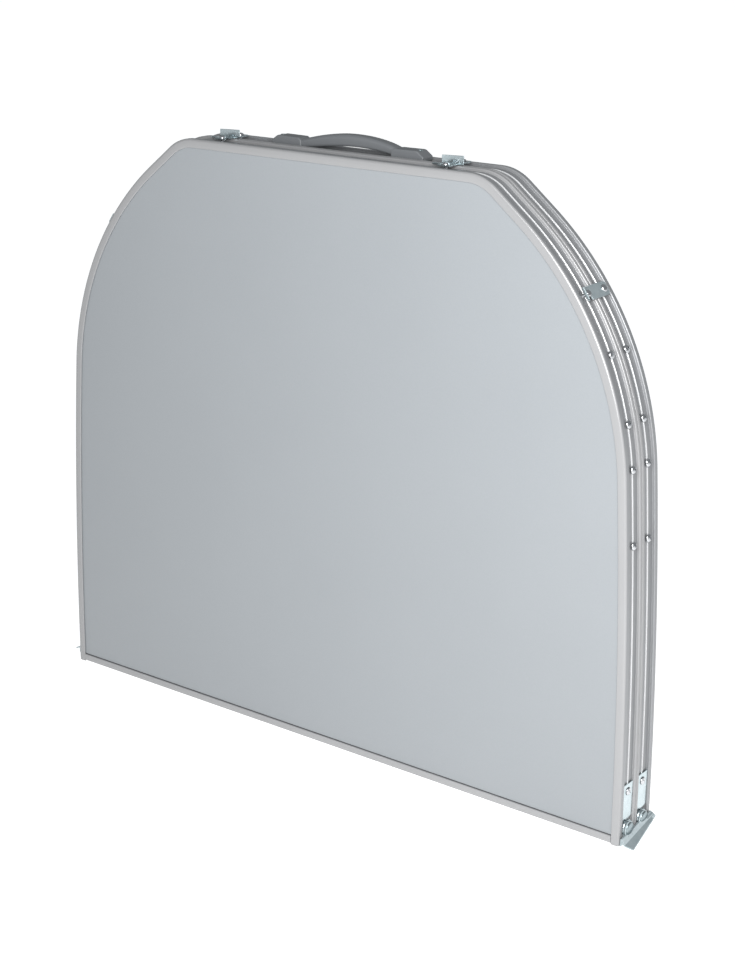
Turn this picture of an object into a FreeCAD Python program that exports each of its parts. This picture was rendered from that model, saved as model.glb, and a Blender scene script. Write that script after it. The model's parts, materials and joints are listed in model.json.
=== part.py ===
import FreeCAD, Part
import math
import os
import Sketcher

# Suitcase-style folding table, standing folded on its straight hinge edge.
# X runs along the hinge, Y through the folded thickness (front face -Y), Z up towards the flat end.
# The origin is the bottom centre of the folded case.  All sizes are in millimetres or degrees.

V = FreeCAD.Vector
Z_AXIS = V(0, 0, 1)
DOC = FreeCAD.newDocument("FoldingTable")
SHEET = DOC.addObject("Spreadsheet::Sheet", "Params")

SIZES = {
    # outline of one half, from the hinge edge round to the flat end
    "table_width": 800.0,
    "half_length": 690.0,
    "side_radius": 5425.0,
    "side_angle": 4.234,
    "shoulder_radius": 356.0,
    "shoulder_angle": 51.5,
    "corner_radius": 56.0,
    # folded thickness and the gap between the two halves
    "folded_thickness": 67.0,
    "seam_gap": 0.6,
    # edge profile section
    "lip_width": 10.0,
    "lip_thickness": 1.8,
    "lip_depth": 7.4,
    "lip_round": 2.6,
    "slot_wall": 2.0,
    "panel_thickness": 4.6,
    "panel_edge_gap": 0.3,
    "flange_thickness": 1.6,
    "channel_depth": 3.4,
    "web_thickness": 1.6,
    "ridge_depth": 18.2,
    "ridge_width": 1.2,
    "ridge_height": 1.2,
    "bead_height": 4.8,
    "bead_width": 7.0,
    "bead_round": 1.4,
    "butt_gap": 0.1,
    # hinge
    "pivot_height": 15.0,
    "hinge_wall": 1.8,
    "hinge_rail_height": 22.0,
    "pin_radius": 4.0,
    "pin_clearance": 0.05,
    "bush_radius": 9.5,
    "link_thickness": 1.6,
    "link_gap": 0.5,
    "link_reach": 31.0,
    "link_height": 8.0,
    "link_floor_gap": 0.8,
    "link_rise": 8.0,
    "link_ear_radius": 8.5,
    "link_flange_wide": 16.5,
    "link_flange_narrow": 8.1,
    "plate_thickness": 1.5,
    "plate_bottom": 26.0,
    "plate_top": 67.0,
    "plate_screw_height": 58.0,
    "plate_side_gap": 0.4,
    # screws
    "screw_head_radius": 3.5,
    "screw_head_height": 1.4,
    "screw_shank_radius": 1.6,
    "screw_length": 11.0,
    "screw_clearance": 0.1,
    # crossbars, side stiffeners
    "crossbar_width": 18.0,
    "crossbar_depth": 15.0,
    "crossbar_wall": 1.5,
    "crossbar_end_gap": 0.4,
    "stiffener_thickness": 2.0,
    "stiffener_depth": 18.0,
    "crossbar_upper_height": 525.0,
    "crossbar_lower_height": 331.0,
    "stiffener_high_screw": 457.0,
    "stiffener_low_screw": 411.0,
    # legs
    "leg_radius": 10.0,
    "leg_wall": 1.5,
    "leg_length": 480.0,
    "leg_axis_depth": 20.3,
    "leg_overhang": 6.5,
    "leg_pivot_x": 297.0,
    "upper_leg_height": 560.0,
    "lower_leg_height": 500.0,
    "leg_pin_radius": 3.0,
    "bracket_gap": 0.4,
    "bracket_wall": 1.6,
    "bracket_length": 24.0,
    "slide_clearance": 0.3,
    "extension_length": 190.0,
    "foot_radius": 11.5,
    "foot_height": 22.0,
    # latches
    "latch_thickness": 1.5,
    "latch_gap": 0.4,
    "latch_width": 15.0,
    "latch_tail": 7.5,
    "latch_nose": 35.0,
    "rivet_radius": 2.5,
    "rivet_head_radius": 4.2,
    "stud_radius": 3.4,
    "side_latch_height": 581.0,
    "left_latch_x": -156.0,
    "right_latch_x": 147.0,
    "thumb_tab_height": 9.5,
    "thumb_tab_width": 24.0,
    "thumb_tab_angle": 15.0,
    # carrying handle
    "handle_inner": 60.0,
    "handle_outer": 101.0,
    "handle_width": 19.0,
    "handle_centre_y": 15.5,
    "mount_height": 8.5,
    "grip_rise": 17.5,
    "grip_thickness": 5.5,
}


class Dim:
    """A size that knows both its number and the spreadsheet expression behind it."""

    def __init__(self, value, text):
        self.value = float(value)
        self.text = text

    @staticmethod
    def of(item):
        return item if isinstance(item, Dim) else Dim(item, repr(float(item)))

    def _join(self, other, sign, value):
        return Dim(value, "(%s %s %s)" % (self.text, sign, other.text))

    def __add__(self, other):
        other = Dim.of(other)
        return self._join(other, "+", self.value + other.value)

    def __radd__(self, other):
        return Dim.of(other) + self

    def __sub__(self, other):
        other = Dim.of(other)
        return self._join(other, "-", self.value - other.value)

    def __rsub__(self, other):
        return Dim.of(other) - self

    def __mul__(self, other):
        other = Dim.of(other)
        return self._join(other, "*", self.value * other.value)

    def __rmul__(self, other):
        return Dim.of(other) * self

    def __truediv__(self, other):
        other = Dim.of(other)
        return self._join(other, "/", self.value / other.value)

    def __neg__(self):
        return Dim(-self.value, "(0 - %s)" % self.text)


def dim_sin(angle):
    return Dim(math.sin(math.radians(angle.value)), "sin(%s)" % angle.text)


def dim_cos(angle):
    return Dim(math.cos(math.radians(angle.value)), "cos(%s)" % angle.text)


class Sizes:
    """Gives each spreadsheet size as a Dim attribute."""

    def __getattr__(self, name):
        return Dim(SIZES[name], "Params." + name)


def fill_sheet():
    for row, (alias, value) in enumerate(SIZES.items(), start=1):
        SHEET.set("A%d" % row, alias)
        SHEET.set("B%d" % row, str(value))
        SHEET.setAlias("B%d" % row, alias)
    DOC.recompute()


fill_sheet()
P = Sizes()

# ---------------------------------------------------------------- derived sizes
HALF_WIDTH = P.table_width / 2
OUTER_Y = P.folded_thickness / 2
HALF_DEPTH = OUTER_Y - P.seam_gap / 2
PANEL_BACK = P.lip_thickness + P.panel_thickness
FLANGE_BACK = PANEL_BACK + P.flange_thickness
WEB_INNER = P.channel_depth + P.web_thickness
PIVOT_Y = P.pivot_height + P.seam_gap / 2
LINK_X = HALF_WIDTH + P.link_gap
HANDLE_SCREW_X = P.handle_inner + 33.0
TURNED = FreeCAD.Placement(V(0, 0, 0), FreeCAD.Rotation(Z_AXIS, 180))


def outline_at(height, inset=0.0):
    """Point (x, z) and outward angle of the right-hand outline at a height on the shoulder or side."""
    side_radius = SIZES["side_radius"]
    shoulder_radius = SIZES["shoulder_radius"]
    side_angle = math.radians(SIZES["side_angle"])
    centre_x = SIZES["table_width"] / 2 - side_radius
    join_height = side_radius * math.sin(side_angle)
    if height <= join_height:
        radius, cx, cz = side_radius, centre_x, 0.0
    else:
        radius = shoulder_radius
        cx = centre_x + (side_radius - shoulder_radius) * math.cos(side_angle)
        cz = (side_radius - shoulder_radius) * math.sin(side_angle)
    angle = math.asin((height - cz) / radius)
    reach = radius - inset
    return cx + reach * math.cos(angle), cz + reach * math.sin(angle), angle


def inner_x(height, inset):
    """Half width at a height, measured to a line that runs inside the outline by an inset."""
    low, high = height - 20.0, height + 40.0
    for _ in range(40):
        middle = (low + high) / 2
        if outline_at(middle, inset)[1] < height:
            low = middle
        else:
            high = middle
    return outline_at(middle, inset)[0]


# ---------------------------------------------------------------- helpers
def bind(item, prop, size):
    item.setExpression(prop, Dim.of(size).text)


def new_body(name):
    body = DOC.addObject("PartDesign::Body", name)
    body.Label = name
    return body


def origin_plane(body, role):
    return [item for item in body.Origin.OriginFeatures if item.Role == role][0]


def new_sketch(body, name, role, offset=None):
    sketch = body.newObject("Sketcher::SketchObject", name)
    sketch.AttachmentSupport = [(origin_plane(body, role), "")]
    sketch.MapMode = "FlatFace"
    if offset is not None:
        bind(sketch, "AttachmentOffset.Base.z", offset)
    return sketch


def hold(sketch, kind, *args):
    """Adds a driven constraint; the last argument is its size."""
    size = Dim.of(args[-1])
    index = sketch.addConstraint(Sketcher.Constraint(kind, *args[:-1], size.value))
    sketch.setExpression("Constraints[%d]" % index, size.text)


def place_point(sketch, geo, end, x=None, y=None):
    for axis, size, line in (("DistanceX", x, -2), ("DistanceY", y, -1)):
        if size is None:
            continue
        size = Dim.of(size)
        if abs(size.value) < 1e-9:
            sketch.addConstraint(Sketcher.Constraint("PointOnObject", geo, end, line))
        else:
            hold(sketch, axis, -1, 1, geo, end, size)


def square_loop(sketch, sides, rounds=None):
    """Closed loop of upright and level sides.

    sides alternate ("x", position) and ("y", position); corner i lies between side i and side i + 1,
    and rounds maps a corner number to its radius.
    """
    rounds = rounds or {}
    count = len(sides)
    corners = []
    for i in range(count):
        pair = dict((sides[i], sides[(i + 1) % count]))
        corners.append(V(Dim.of(pair["x"]).value, Dim.of(pair["y"]).value, 0))
    lines = []
    for i in range(count):
        start, end = corners[i - 1], corners[i]
        along = (end - start).normalize()
        if (i - 1) % count in rounds:
            start = start + along * Dim.of(rounds[(i - 1) % count]).value
        if i in rounds:
            end = end - along * Dim.of(rounds[i]).value
        lines.append(sketch.addGeometry(Part.LineSegment(start, end)))
    for i in range(count):
        line, following = lines[i], lines[(i + 1) % count]
        if i not in rounds:
            sketch.addConstraint(Sketcher.Constraint("Coincident", line, 2, following, 1))
            continue
        radius = Dim.of(rounds[i]).value
        come = (corners[i] - corners[i - 1]).normalize()
        leave = (corners[(i + 1) % count] - corners[i]).normalize()
        centre = corners[i] - come * radius + leave * radius
        first = corners[i] - come * radius - centre
        last = corners[i] + leave * radius - centre
        turn_left = come.x * leave.y - come.y * leave.x > 0
        if not turn_left:
            first, last = last, first
        arc = sketch.addGeometry(Part.ArcOfCircle(
            Part.Circle(centre, Z_AXIS, radius),
            math.atan2(first.y, first.x), math.atan2(last.y, last.x)))
        ends = (1, 2) if turn_left else (2, 1)
        sketch.addConstraint(Sketcher.Constraint("Tangent", line, 2, arc, ends[0]))
        sketch.addConstraint(Sketcher.Constraint("Tangent", arc, ends[1], following, 1))
        hold(sketch, "Radius", arc, rounds[i])
    for i in range(count):
        kind, position = sides[i]
        upright = kind == "x"
        sketch.addConstraint(Sketcher.Constraint("Vertical" if upright else "Horizontal", lines[i]))
        place_point(sketch, lines[i], 1, **{kind: position})


def circle(sketch, x, y, radius):
    x, y, radius = Dim.of(x), Dim.of(y), Dim.of(radius)
    geo = sketch.addGeometry(Part.Circle(V(x.value, y.value, 0), Z_AXIS, radius.value))
    hold(sketch, "Radius", geo, radius)
    place_point(sketch, geo, 3, x, y)


def polygon(sketch, points):
    points = [(Dim.of(x), Dim.of(y)) for x, y in points]
    count = len(points)
    for i in range(count):
        (x0, y0), (x1, y1) = points[i], points[(i + 1) % count]
        sketch.addGeometry(Part.LineSegment(V(x0.value, y0.value, 0), V(x1.value, y1.value, 0)))
    for i in range(count):
        sketch.addConstraint(Sketcher.Constraint("Coincident", i, 2, (i + 1) % count, 1))
    for i in range(count):
        place_point(sketch, i, 1, *points[i])


def outline(sketch, inset=0.0, floor=None):
    """Half-table outline, run inside the true edge by an inset; closed along the bottom if floor is given."""
    inset = Dim.of(inset)
    side = P.side_radius - inset
    shoulder = P.shoulder_radius - inset
    corner = P.corner_radius - inset
    t0, t1 = P.side_angle, P.shoulder_angle
    side_x = HALF_WIDTH - P.side_radius
    shoulder_x = side_x + (P.side_radius - P.shoulder_radius) * dim_cos(t0)
    shoulder_z = (P.side_radius - P.shoulder_radius) * dim_sin(t0)
    run_x = shoulder_x + P.shoulder_radius * dim_cos(t1)
    run_z = shoulder_z + P.shoulder_radius * dim_sin(t1)
    corner_z = P.half_length - P.corner_radius
    run_up = corner_z + P.corner_radius * dim_sin(t1) - run_z
    corner_edge_x = run_x - run_up * dim_sin(t1) / dim_cos(t1)
    corner_x = corner_edge_x - P.corner_radius * dim_cos(t1)
    bottom = 0.0 if floor is None else Dim.of(floor).value
    start = math.asin(bottom / side.value)
    a0, a1 = math.radians(t0.value), math.radians(t1.value)

    def on_circle(cx, cz, radius, angle):
        return V(cx + radius * math.cos(angle), cz + radius * math.sin(angle), 0)

    p_run = on_circle(shoulder_x.value, shoulder_z.value, shoulder.value, a1)
    p_corner = on_circle(corner_x.value, corner_z.value, corner.value, a1)
    p_top = V(corner_x.value, corner_z.value + corner.value, 0)
    add = sketch.addGeometry

    def arc(cx, cz, radius, begin, end):
        return add(Part.ArcOfCircle(Part.Circle(V(cx, cz, 0), Z_AXIS, radius), begin, end))

    def mirrored(point):
        return V(-point.x, point.y, 0)

    right = [arc(side_x.value, 0, side.value, start, a0),
             arc(shoulder_x.value, shoulder_z.value, shoulder.value, a0, a1),
             add(Part.LineSegment(p_run, p_corner)),
             arc(corner_x.value, corner_z.value, corner.value, a1, math.pi / 2)]
    top = add(Part.LineSegment(p_top, mirrored(p_top)))
    left = [arc(-corner_x.value, corner_z.value, corner.value, math.pi / 2, math.pi - a1),
            add(Part.LineSegment(mirrored(p_corner), mirrored(p_run))),
            arc(-shoulder_x.value, shoulder_z.value, shoulder.value, math.pi - a1, math.pi - a0),
            arc(-side_x.value, 0, side.value, math.pi - a0, math.pi - start)]
    chain = right + [top] + left
    for first, second in zip(chain, chain[1:]):
        sketch.addConstraint(Sketcher.Constraint("Tangent", first, 2, second, 1))
    for geo, radius in zip((right[0], right[1], right[3]), (side, shoulder, corner)):
        hold(sketch, "Radius", geo, radius)
    for geo, radius in zip((left[3], left[2], left[0]), (side, shoulder, corner)):
        hold(sketch, "Radius", geo, radius)
    if floor is not None:
        base = add(Part.LineSegment(sketch.Geometry[left[3]].EndPoint, sketch.Geometry[right[0]].StartPoint))
        sketch.addConstraint(Sketcher.Constraint("Coincident", left[3], 2, base, 1))
        sketch.addConstraint(Sketcher.Constraint("Coincident", base, 2, right[0], 1))
    place_point(sketch, right[0], 3, side_x, 0.0)
    place_point(sketch, left[3], 3, -side_x, 0.0)
    place_point(sketch, right[0], 1, None, bottom if floor is None else floor)
    place_point(sketch, left[3], 2, None, bottom if floor is None else floor)
    place_point(sketch, top, 1, corner_x, P.half_length - inset)
    return chain


def pad(body, sketch, length, name, reverse=False, midplane=False):
    feature = body.newObject("PartDesign::Pad", name)
    feature.Profile = sketch
    bind(feature, "Length", length)
    feature.Reversed = reverse
    feature.Midplane = midplane
    body.Tip = feature
    return feature


def primitive(kind, name, sizes, placement=None):
    item = DOC.addObject("Part::" + kind, name)
    for prop, size in sizes.items():
        bind(item, prop, size)
    if placement is not None:
        item.Placement = placement
    return item


def merged(name, items):
    fuse = DOC.addObject("Part::MultiFuse", name)
    fuse.Shapes = items
    return fuse


def cut(name, base, tools):
    result = DOC.addObject("Part::Cut", name)
    result.Base = base
    result.Tool = tools[0] if len(tools) == 1 else merged(name + "_drills", tools)
    result.Label = name
    return result


def group(name, items):
    compound = DOC.addObject("Part::Compound", name)
    compound.Links = items
    compound.Label = name
    return compound


def facing(point, direction, roll_x=None):
    """Placement whose local Z looks along a direction, with local X along roll_x when given."""
    direction = V(*direction).normalize()
    if roll_x is None:
        return FreeCAD.Placement(V(*point), FreeCAD.Rotation(Z_AXIS, direction))
    across = V(*roll_x).normalize()
    third = direction.cross(across)
    return FreeCAD.Placement(V(*point), FreeCAD.Rotation(across, third, direction, "ZXY"))


NODES = {}


def finish(name, item, turned=False):
    """Registers a finished node; the rear half is the front half's pattern turned about the Z axis."""
    if turned:
        item.Placement = TURNED.multiply(item.Placement)
    NODES[name] = item
    return item


def depth_y(depth):
    """Y of a depth below the front face of the front half."""
    return Dim.of(depth) - OUTER_Y


# ---------------------------------------------------------------- half: plates, profiles and inner frame
def side_frame(side, height, inset):
    """Point and outward direction on the right (+1) or left (-1) edge at the ridge depth."""
    x, z, angle = outline_at(height, inset)
    point = (side * x, depth_y(P.ridge_depth).value, z)
    return point, (side * math.cos(angle), 0.0, math.sin(angle))


def screw(name, side, height, seat_inset):
    """Domed screw driven square to the edge, its head seated at an inset from the outline."""
    point, outward = side_frame(side, height, seat_inset)
    inward = tuple(-c for c in outward)
    shank = primitive("Cylinder", name + "_shank",
                      {"Radius": P.screw_shank_radius, "Height": P.screw_length}, facing(point, inward))
    head = primitive("Cylinder", name + "_head",
                     {"Radius": P.screw_head_radius, "Height": P.screw_head_height / 2},
                     facing(point, outward))
    crown_seat = tuple(p + d * SIZES["screw_head_height"] / 2 for p, d in zip(point, outward))
    crown = primitive("Cone", name + "_crown",
                      {"Radius1": P.screw_head_radius, "Radius2": P.screw_head_radius * 0.55,
                       "Height": P.screw_head_height / 2}, facing(crown_seat, outward))
    return merged(name, [shank, head, crown])


def drill(name, side, height, start_inset, length, radius):
    point, outward = side_frame(side, height, start_inset)
    return primitive("Cylinder", name, {"Radius": radius, "Height": length},
                     facing(point, tuple(-c for c in outward)))


SCREW_SEAT = P.channel_depth - P.ridge_height - 0.1
EDGE_SCREWS = ("crossbar_upper_height", "stiffener_high_screw", "stiffener_low_screw", "crossbar_lower_height")


def edge_drills(half):
    """Clearance holes along both edges for the frame screws."""
    drills = []
    for side in (1, -1):
        for alias in EDGE_SCREWS:
            drills.append(drill("%s_drill_%s_%d" % (half, alias, side + 1), side, SIZES[alias],
                                0.0, P.screw_length + 12.0, P.screw_shank_radius + P.screw_clearance))
    return drills


def build_panel(half, turned):
    body = new_body(half + "_panel")
    inset = P.slot_wall + P.panel_edge_gap
    sketch = new_sketch(body, half + "_panel_outline", "XZ_Plane", OUTER_Y - P.lip_thickness)
    outline(sketch, inset, floor=inset)
    pad(body, sketch, P.panel_thickness, half + "_panel_pad", reverse=True)
    finish(half + "_panel", body, turned)


def build_edge_profile(half, turned):
    body = new_body(half + "_edge_section")
    path = new_sketch(body, half + "_edge_path", "XZ_Plane")
    chain = outline(path)
    section = new_sketch(body, half + "_edge_shape", "XY_Plane")

    def u(inset):
        return HALF_WIDTH - inset

    inner = depth_y(HALF_DEPTH)
    ridge = depth_y(P.ridge_depth)
    bead = depth_y(HALF_DEPTH - P.bead_height)
    sides = [("x", u(0)), ("y", depth_y(0)), ("x", u(P.lip_width)), ("y", depth_y(P.lip_thickness)),
             ("x", u(P.slot_wall)), ("y", depth_y(PANEL_BACK)), ("x", u(P.lip_width)),
             ("y", depth_y(FLANGE_BACK)), ("x", u(WEB_INNER)), ("y", bead - P.web_thickness / 2),
             ("x", u(P.bead_width)), ("y", inner), ("x", u(0)), ("y", bead),
             ("x", u(P.channel_depth)), ("y", ridge + P.ridge_width / 2),
             ("x", u(P.channel_depth - P.ridge_height)), ("y", ridge - P.ridge_width / 2),
             ("x", u(P.channel_depth)), ("y", depth_y(P.lip_depth))]
    rounds = {0: P.lip_round, 1: 0.8, 19: 1.2, 11: P.bead_round}
    square_loop(section, sides, rounds)
    sweep = body.newObject("PartDesign::AdditivePipe", half + "_edge_sweep")
    sweep.Profile = section
    sweep.Spine = (path, ["Edge%d" % (i + 1) for i in range(len(chain))])
    body.Tip = sweep
    relief = new_sketch(body, half + "_edge_relief", "YZ_Plane")
    hinge_relief(relief)
    pocket = body.newObject("PartDesign::Pocket", half + "_edge_relief_cut")
    pocket.Profile = relief
    pocket.Type = "ThroughAll"
    pocket.Midplane = True
    body.Tip = pocket
    tools = edge_drills(half)
    for side in (1, -1):
        point = (side * (HALF_WIDTH.value - 12.0), -PIVOT_Y.value, SIZES["pivot_height"])
        tools.append(primitive("Cylinder", "%s_pin_hole_%d" % (half, side + 1),
                               {"Radius": P.pin_radius + 0.4, "Height": 16.0}, facing(point, (side, 0, 0))))
        tools.append(drill("%s_plate_hole_%d" % (half, side + 1), side, SIZES["plate_screw_height"],
                           0.0, 20.0, P.screw_shank_radius + P.screw_clearance))
        tools.append(drill("%s_stud_hole_%d" % (half, side + 1), side, SIZES["side_latch_height"], 1.0, 9.0,
                           P.rivet_radius + 0.05))
    for x in (SIZES["left_latch_x"], SIZES["right_latch_x"]):
        point = (-x if turned else x, depth_y(P.ridge_depth).value, SIZES["half_length"] - 9.0)
        tools.append(primitive("Cylinder", "%s_top_hole_%d" % (half, int(x)),
                               {"Radius": P.rivet_radius + 0.05, "Height": 8.0}, facing(point, (0, 0, 1))))
    if turned:
        for side in (1, -1):
            point = (side * HANDLE_SCREW_X.value, -SIZES["handle_centre_y"], SIZES["half_length"] - 9.0)
            tools.append(primitive("Cylinder", "handle_hole_%d" % (side + 1),
                                   {"Radius": P.screw_shank_radius + P.screw_clearance, "Height": 8.0},
                                   facing(point, (0, 0, 1))))
    profile = cut(half + "_edge_profile", body, tools)
    finish(half + "_edge_profile", profile, turned)


def hinge_relief(sketch):
    """Square corner less a quarter round, so that the inner bottom edge rolls about the pivot."""
    inner = depth_y(HALF_DEPTH).value
    radius = SIZES["pivot_height"]
    past = 2.0
    centre = V(inner - radius, radius, 0)
    points = [V(inner, radius, 0), V(inner + past, radius, 0), V(inner + past, -past, 0),
              V(inner - radius, -past, 0), V(inner - radius, 0, 0)]
    for start, end in zip(points, points[1:]):
        sketch.addGeometry(Part.LineSegment(start, end))
    arc = sketch.addGeometry(Part.ArcOfCircle(Part.Circle(centre, Z_AXIS, radius), -math.pi / 2, 0))
    for i in range(3):
        sketch.addConstraint(Sketcher.Constraint("Coincident", i, 2, i + 1, 1))
    sketch.addConstraint(Sketcher.Constraint("Coincident", 3, 2, arc, 1))
    sketch.addConstraint(Sketcher.Constraint("Coincident", arc, 2, 0, 1))
    hold(sketch, "Radius", arc, P.pivot_height)
    place_point(sketch, arc, 3, depth_y(HALF_DEPTH) - P.pivot_height, P.pivot_height)
    place_point(sketch, 0, 1, None, P.pivot_height)
    place_point(sketch, 3, 2, depth_y(HALF_DEPTH) - P.pivot_height, None)


def build_hinge_profile(half, turned):
    body = new_body(half + "_hinge_profile")
    section = new_sketch(body, half + "_hinge_shape", "YZ_Plane")
    inner = depth_y(HALF_DEPTH).value
    radius = SIZES["pivot_height"]
    wall = SIZES["hinge_wall"]
    centre = V(inner - radius, radius, 0)
    outer_y = depth_y(0).value
    lip_back, slot_back = depth_y(P.lip_thickness).value, depth_y(PANEL_BACK).value
    flange_back = depth_y(FLANGE_BACK).value
    edge = SIZES["lip_round"]
    lip, slot, rail = SIZES["lip_width"], SIZES["slot_wall"], SIZES["hinge_rail_height"]
    points = [V(centre.x, 0, 0), V(outer_y + edge, 0, 0)]
    after = [V(outer_y, edge, 0), V(outer_y, lip, 0), V(lip_back, lip, 0), V(lip_back, slot, 0),
             V(slot_back, slot, 0), V(slot_back, lip, 0), V(flange_back, lip, 0), V(flange_back, wall, 0),
             V(centre.x, wall, 0)]
    add = section.addGeometry
    add(Part.LineSegment(points[0], points[1]))
    round_edge = add(Part.ArcOfCircle(Part.Circle(V(outer_y + edge, edge, 0), Z_AXIS, edge),
                                      math.pi, 1.5 * math.pi))
    lines = [add(Part.LineSegment(start, end)) for start, end in zip(after, after[1:])]
    inner_arc = add(Part.ArcOfCircle(Part.Circle(centre, Z_AXIS, radius - wall), -math.pi / 2, 0))
    up = add(Part.LineSegment(V(inner - wall, radius, 0), V(inner - wall, rail, 0)))
    over = add(Part.LineSegment(V(inner - wall, rail, 0), V(inner, rail, 0)))
    down = add(Part.LineSegment(V(inner, rail, 0), V(inner, radius, 0)))
    outer_arc = add(Part.ArcOfCircle(Part.Circle(centre, Z_AXIS, radius), -math.pi / 2, 0))
    joins = [(0, 2, round_edge, 2), (round_edge, 1, lines[0], 1)]
    joins += [(a, 2, b, 1) for a, b in zip(lines, lines[1:])]
    joins += [(lines[-1], 2, inner_arc, 1), (inner_arc, 2, up, 1), (up, 2, over, 1), (over, 2, down, 1),
              (down, 2, outer_arc, 2), (outer_arc, 1, 0, 1)]
    for join in joins:
        section.addConstraint(Sketcher.Constraint("Coincident", *join))
    hold(section, "Radius", inner_arc, P.pivot_height - P.hinge_wall)
    hold(section, "Radius", outer_arc, P.pivot_height)
    place_point(section, outer_arc, 3, depth_y(HALF_DEPTH) - P.pivot_height, P.pivot_height)
    place_point(section, over, 1, depth_y(HALF_DEPTH) - P.hinge_wall, P.hinge_rail_height)
    place_point(section, lines[0], 2, depth_y(0), P.lip_width)
    length = P.table_width - (P.lip_width + P.butt_gap) * 2
    pad(body, section, length, half + "_hinge_pad", midplane=True)
    finish(half + "_hinge_profile", body, turned)


def tube_bar(name, height, half_span, depth):
    """Square-cornered hollow bar running along X at a height."""
    body = new_body(name)
    section = new_sketch(body, name + "_section", "YZ_Plane")
    wall = P.crossbar_wall
    low, high = height - P.crossbar_width / 2, height + P.crossbar_width / 2
    front, back = depth_y(depth), depth_y(depth + P.crossbar_depth)
    square_loop(section, [("x", front), ("y", low), ("x", back), ("y", high)], {})
    hollow_start = 4
    corners = [(front + wall, low + wall), (back - wall, low + wall),
               (back - wall, high - wall), (front + wall, high - wall)]
    for i in range(4):
        (x0, y0), (x1, y1) = corners[i], corners[(i + 1) % 4]
        section.addGeometry(Part.LineSegment(V(x0.value, y0.value, 0), V(x1.value, y1.value, 0)))
    for i in range(4):
        section.addConstraint(Sketcher.Constraint("Coincident", hollow_start + i, 2,
                                                  hollow_start + (i + 1) % 4, 1))
    for i in range(4):
        place_point(section, hollow_start + i, 1, *corners[i])
    pad(body, section, Dim.of(half_span * 2), name + "_pad", midplane=True)
    return body


CROSSBAR_HEIGHTS = {"upper": "crossbar_upper_height", "lower": "crossbar_lower_height"}


def build_crossbars(half, turned):
    for level, alias in CROSSBAR_HEIGHTS.items():
        height = SIZES[alias]
        reach = inner_x(height + SIZES["crossbar_width"] / 2, WEB_INNER.value) - SIZES["crossbar_end_gap"]
        name = "%s_%s_crossbar" % (half, level)
        bar = tube_bar(name + "_bar", Dim(height, "Params." + alias), reach, FLANGE_BACK + 0.2)
        drills = []
        for side in (1, -1):
            drills.append(drill("%s_drill_%d" % (name, side + 1), side, height, 0.0,
                                P.screw_length + 12.0, P.screw_shank_radius + P.screw_clearance))
        finish(name, cut(name, bar, drills), turned)


def build_stiffeners(half, turned):
    """Curved plates that back up the edge profile where two frame screws enter it."""
    pieces = []
    for side in (1, -1):
        name = "%s_stiffener_%d" % (half, side + 1)
        body = new_body(name)
        sketch = new_sketch(body, name + "_section", "XZ_Plane", OUTER_Y - (FLANGE_BACK + 0.6))
        outer = SIZES["shoulder_radius"] - WEB_INNER.value - 0.1
        inner = outer - SIZES["stiffener_thickness"]
        side_angle = math.radians(SIZES["side_angle"])
        offset = SIZES["side_radius"] - SIZES["shoulder_radius"]
        cx = SIZES["table_width"] / 2 - SIZES["side_radius"] + offset * math.cos(side_angle)
        cz = offset * math.sin(side_angle)
        low = math.asin((SIZES["stiffener_low_screw"] - 7.0 - cz) / SIZES["shoulder_radius"])
        high = math.asin((SIZES["stiffener_high_screw"] + 10.0 - cz) / SIZES["shoulder_radius"])
        centre = V(side * cx, cz, 0)
        start, end = (low, high) if side > 0 else (math.pi - high, math.pi - low)
        arcs = [sketch.addGeometry(Part.ArcOfCircle(Part.Circle(centre, Z_AXIS, radius), start, end))
                for radius in (outer, inner)]
        shape = [sketch.Geometry[i] for i in arcs]
        first = sketch.addGeometry(Part.LineSegment(shape[0].EndPoint, shape[1].EndPoint))
        last = sketch.addGeometry(Part.LineSegment(shape[1].StartPoint, shape[0].StartPoint))
        for join in ((arcs[0], 2, first, 1), (first, 2, arcs[1], 2), (arcs[1], 1, last, 1),
                     (last, 2, arcs[0], 1)):
            sketch.addConstraint(Sketcher.Constraint("Coincident", *join))
        hold(sketch, "Radius", arcs[0], P.shoulder_radius - WEB_INNER - 0.1)
        hold(sketch, "Radius", arcs[1], P.shoulder_radius - WEB_INNER - 0.1 - P.stiffener_thickness)
        pad(body, sketch, P.stiffener_depth, name + "_pad", reverse=True)
        drills = [drill("%s_drill_%s" % (name, alias), side, SIZES[alias], 0.0, P.screw_length + 12.0,
                        P.screw_shank_radius + P.screw_clearance)
                  for alias in ("stiffener_high_screw", "stiffener_low_screw")]
        pieces.append(cut(name + "_cut", body, drills))
    finish(half + "_side_stiffeners", group(half + "_side_stiffeners", pieces), turned)


def build_frame_screws(half, turned):
    pieces = []
    for side in (1, -1):
        for alias in EDGE_SCREWS:
            pieces.append(screw("%s_screw_%s_%d" % (half, alias, side + 1), side, SIZES[alias],
                                SCREW_SEAT.value))
    finish(half + "_frame_screws", group(half + "_frame_screws", pieces), turned)


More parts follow.
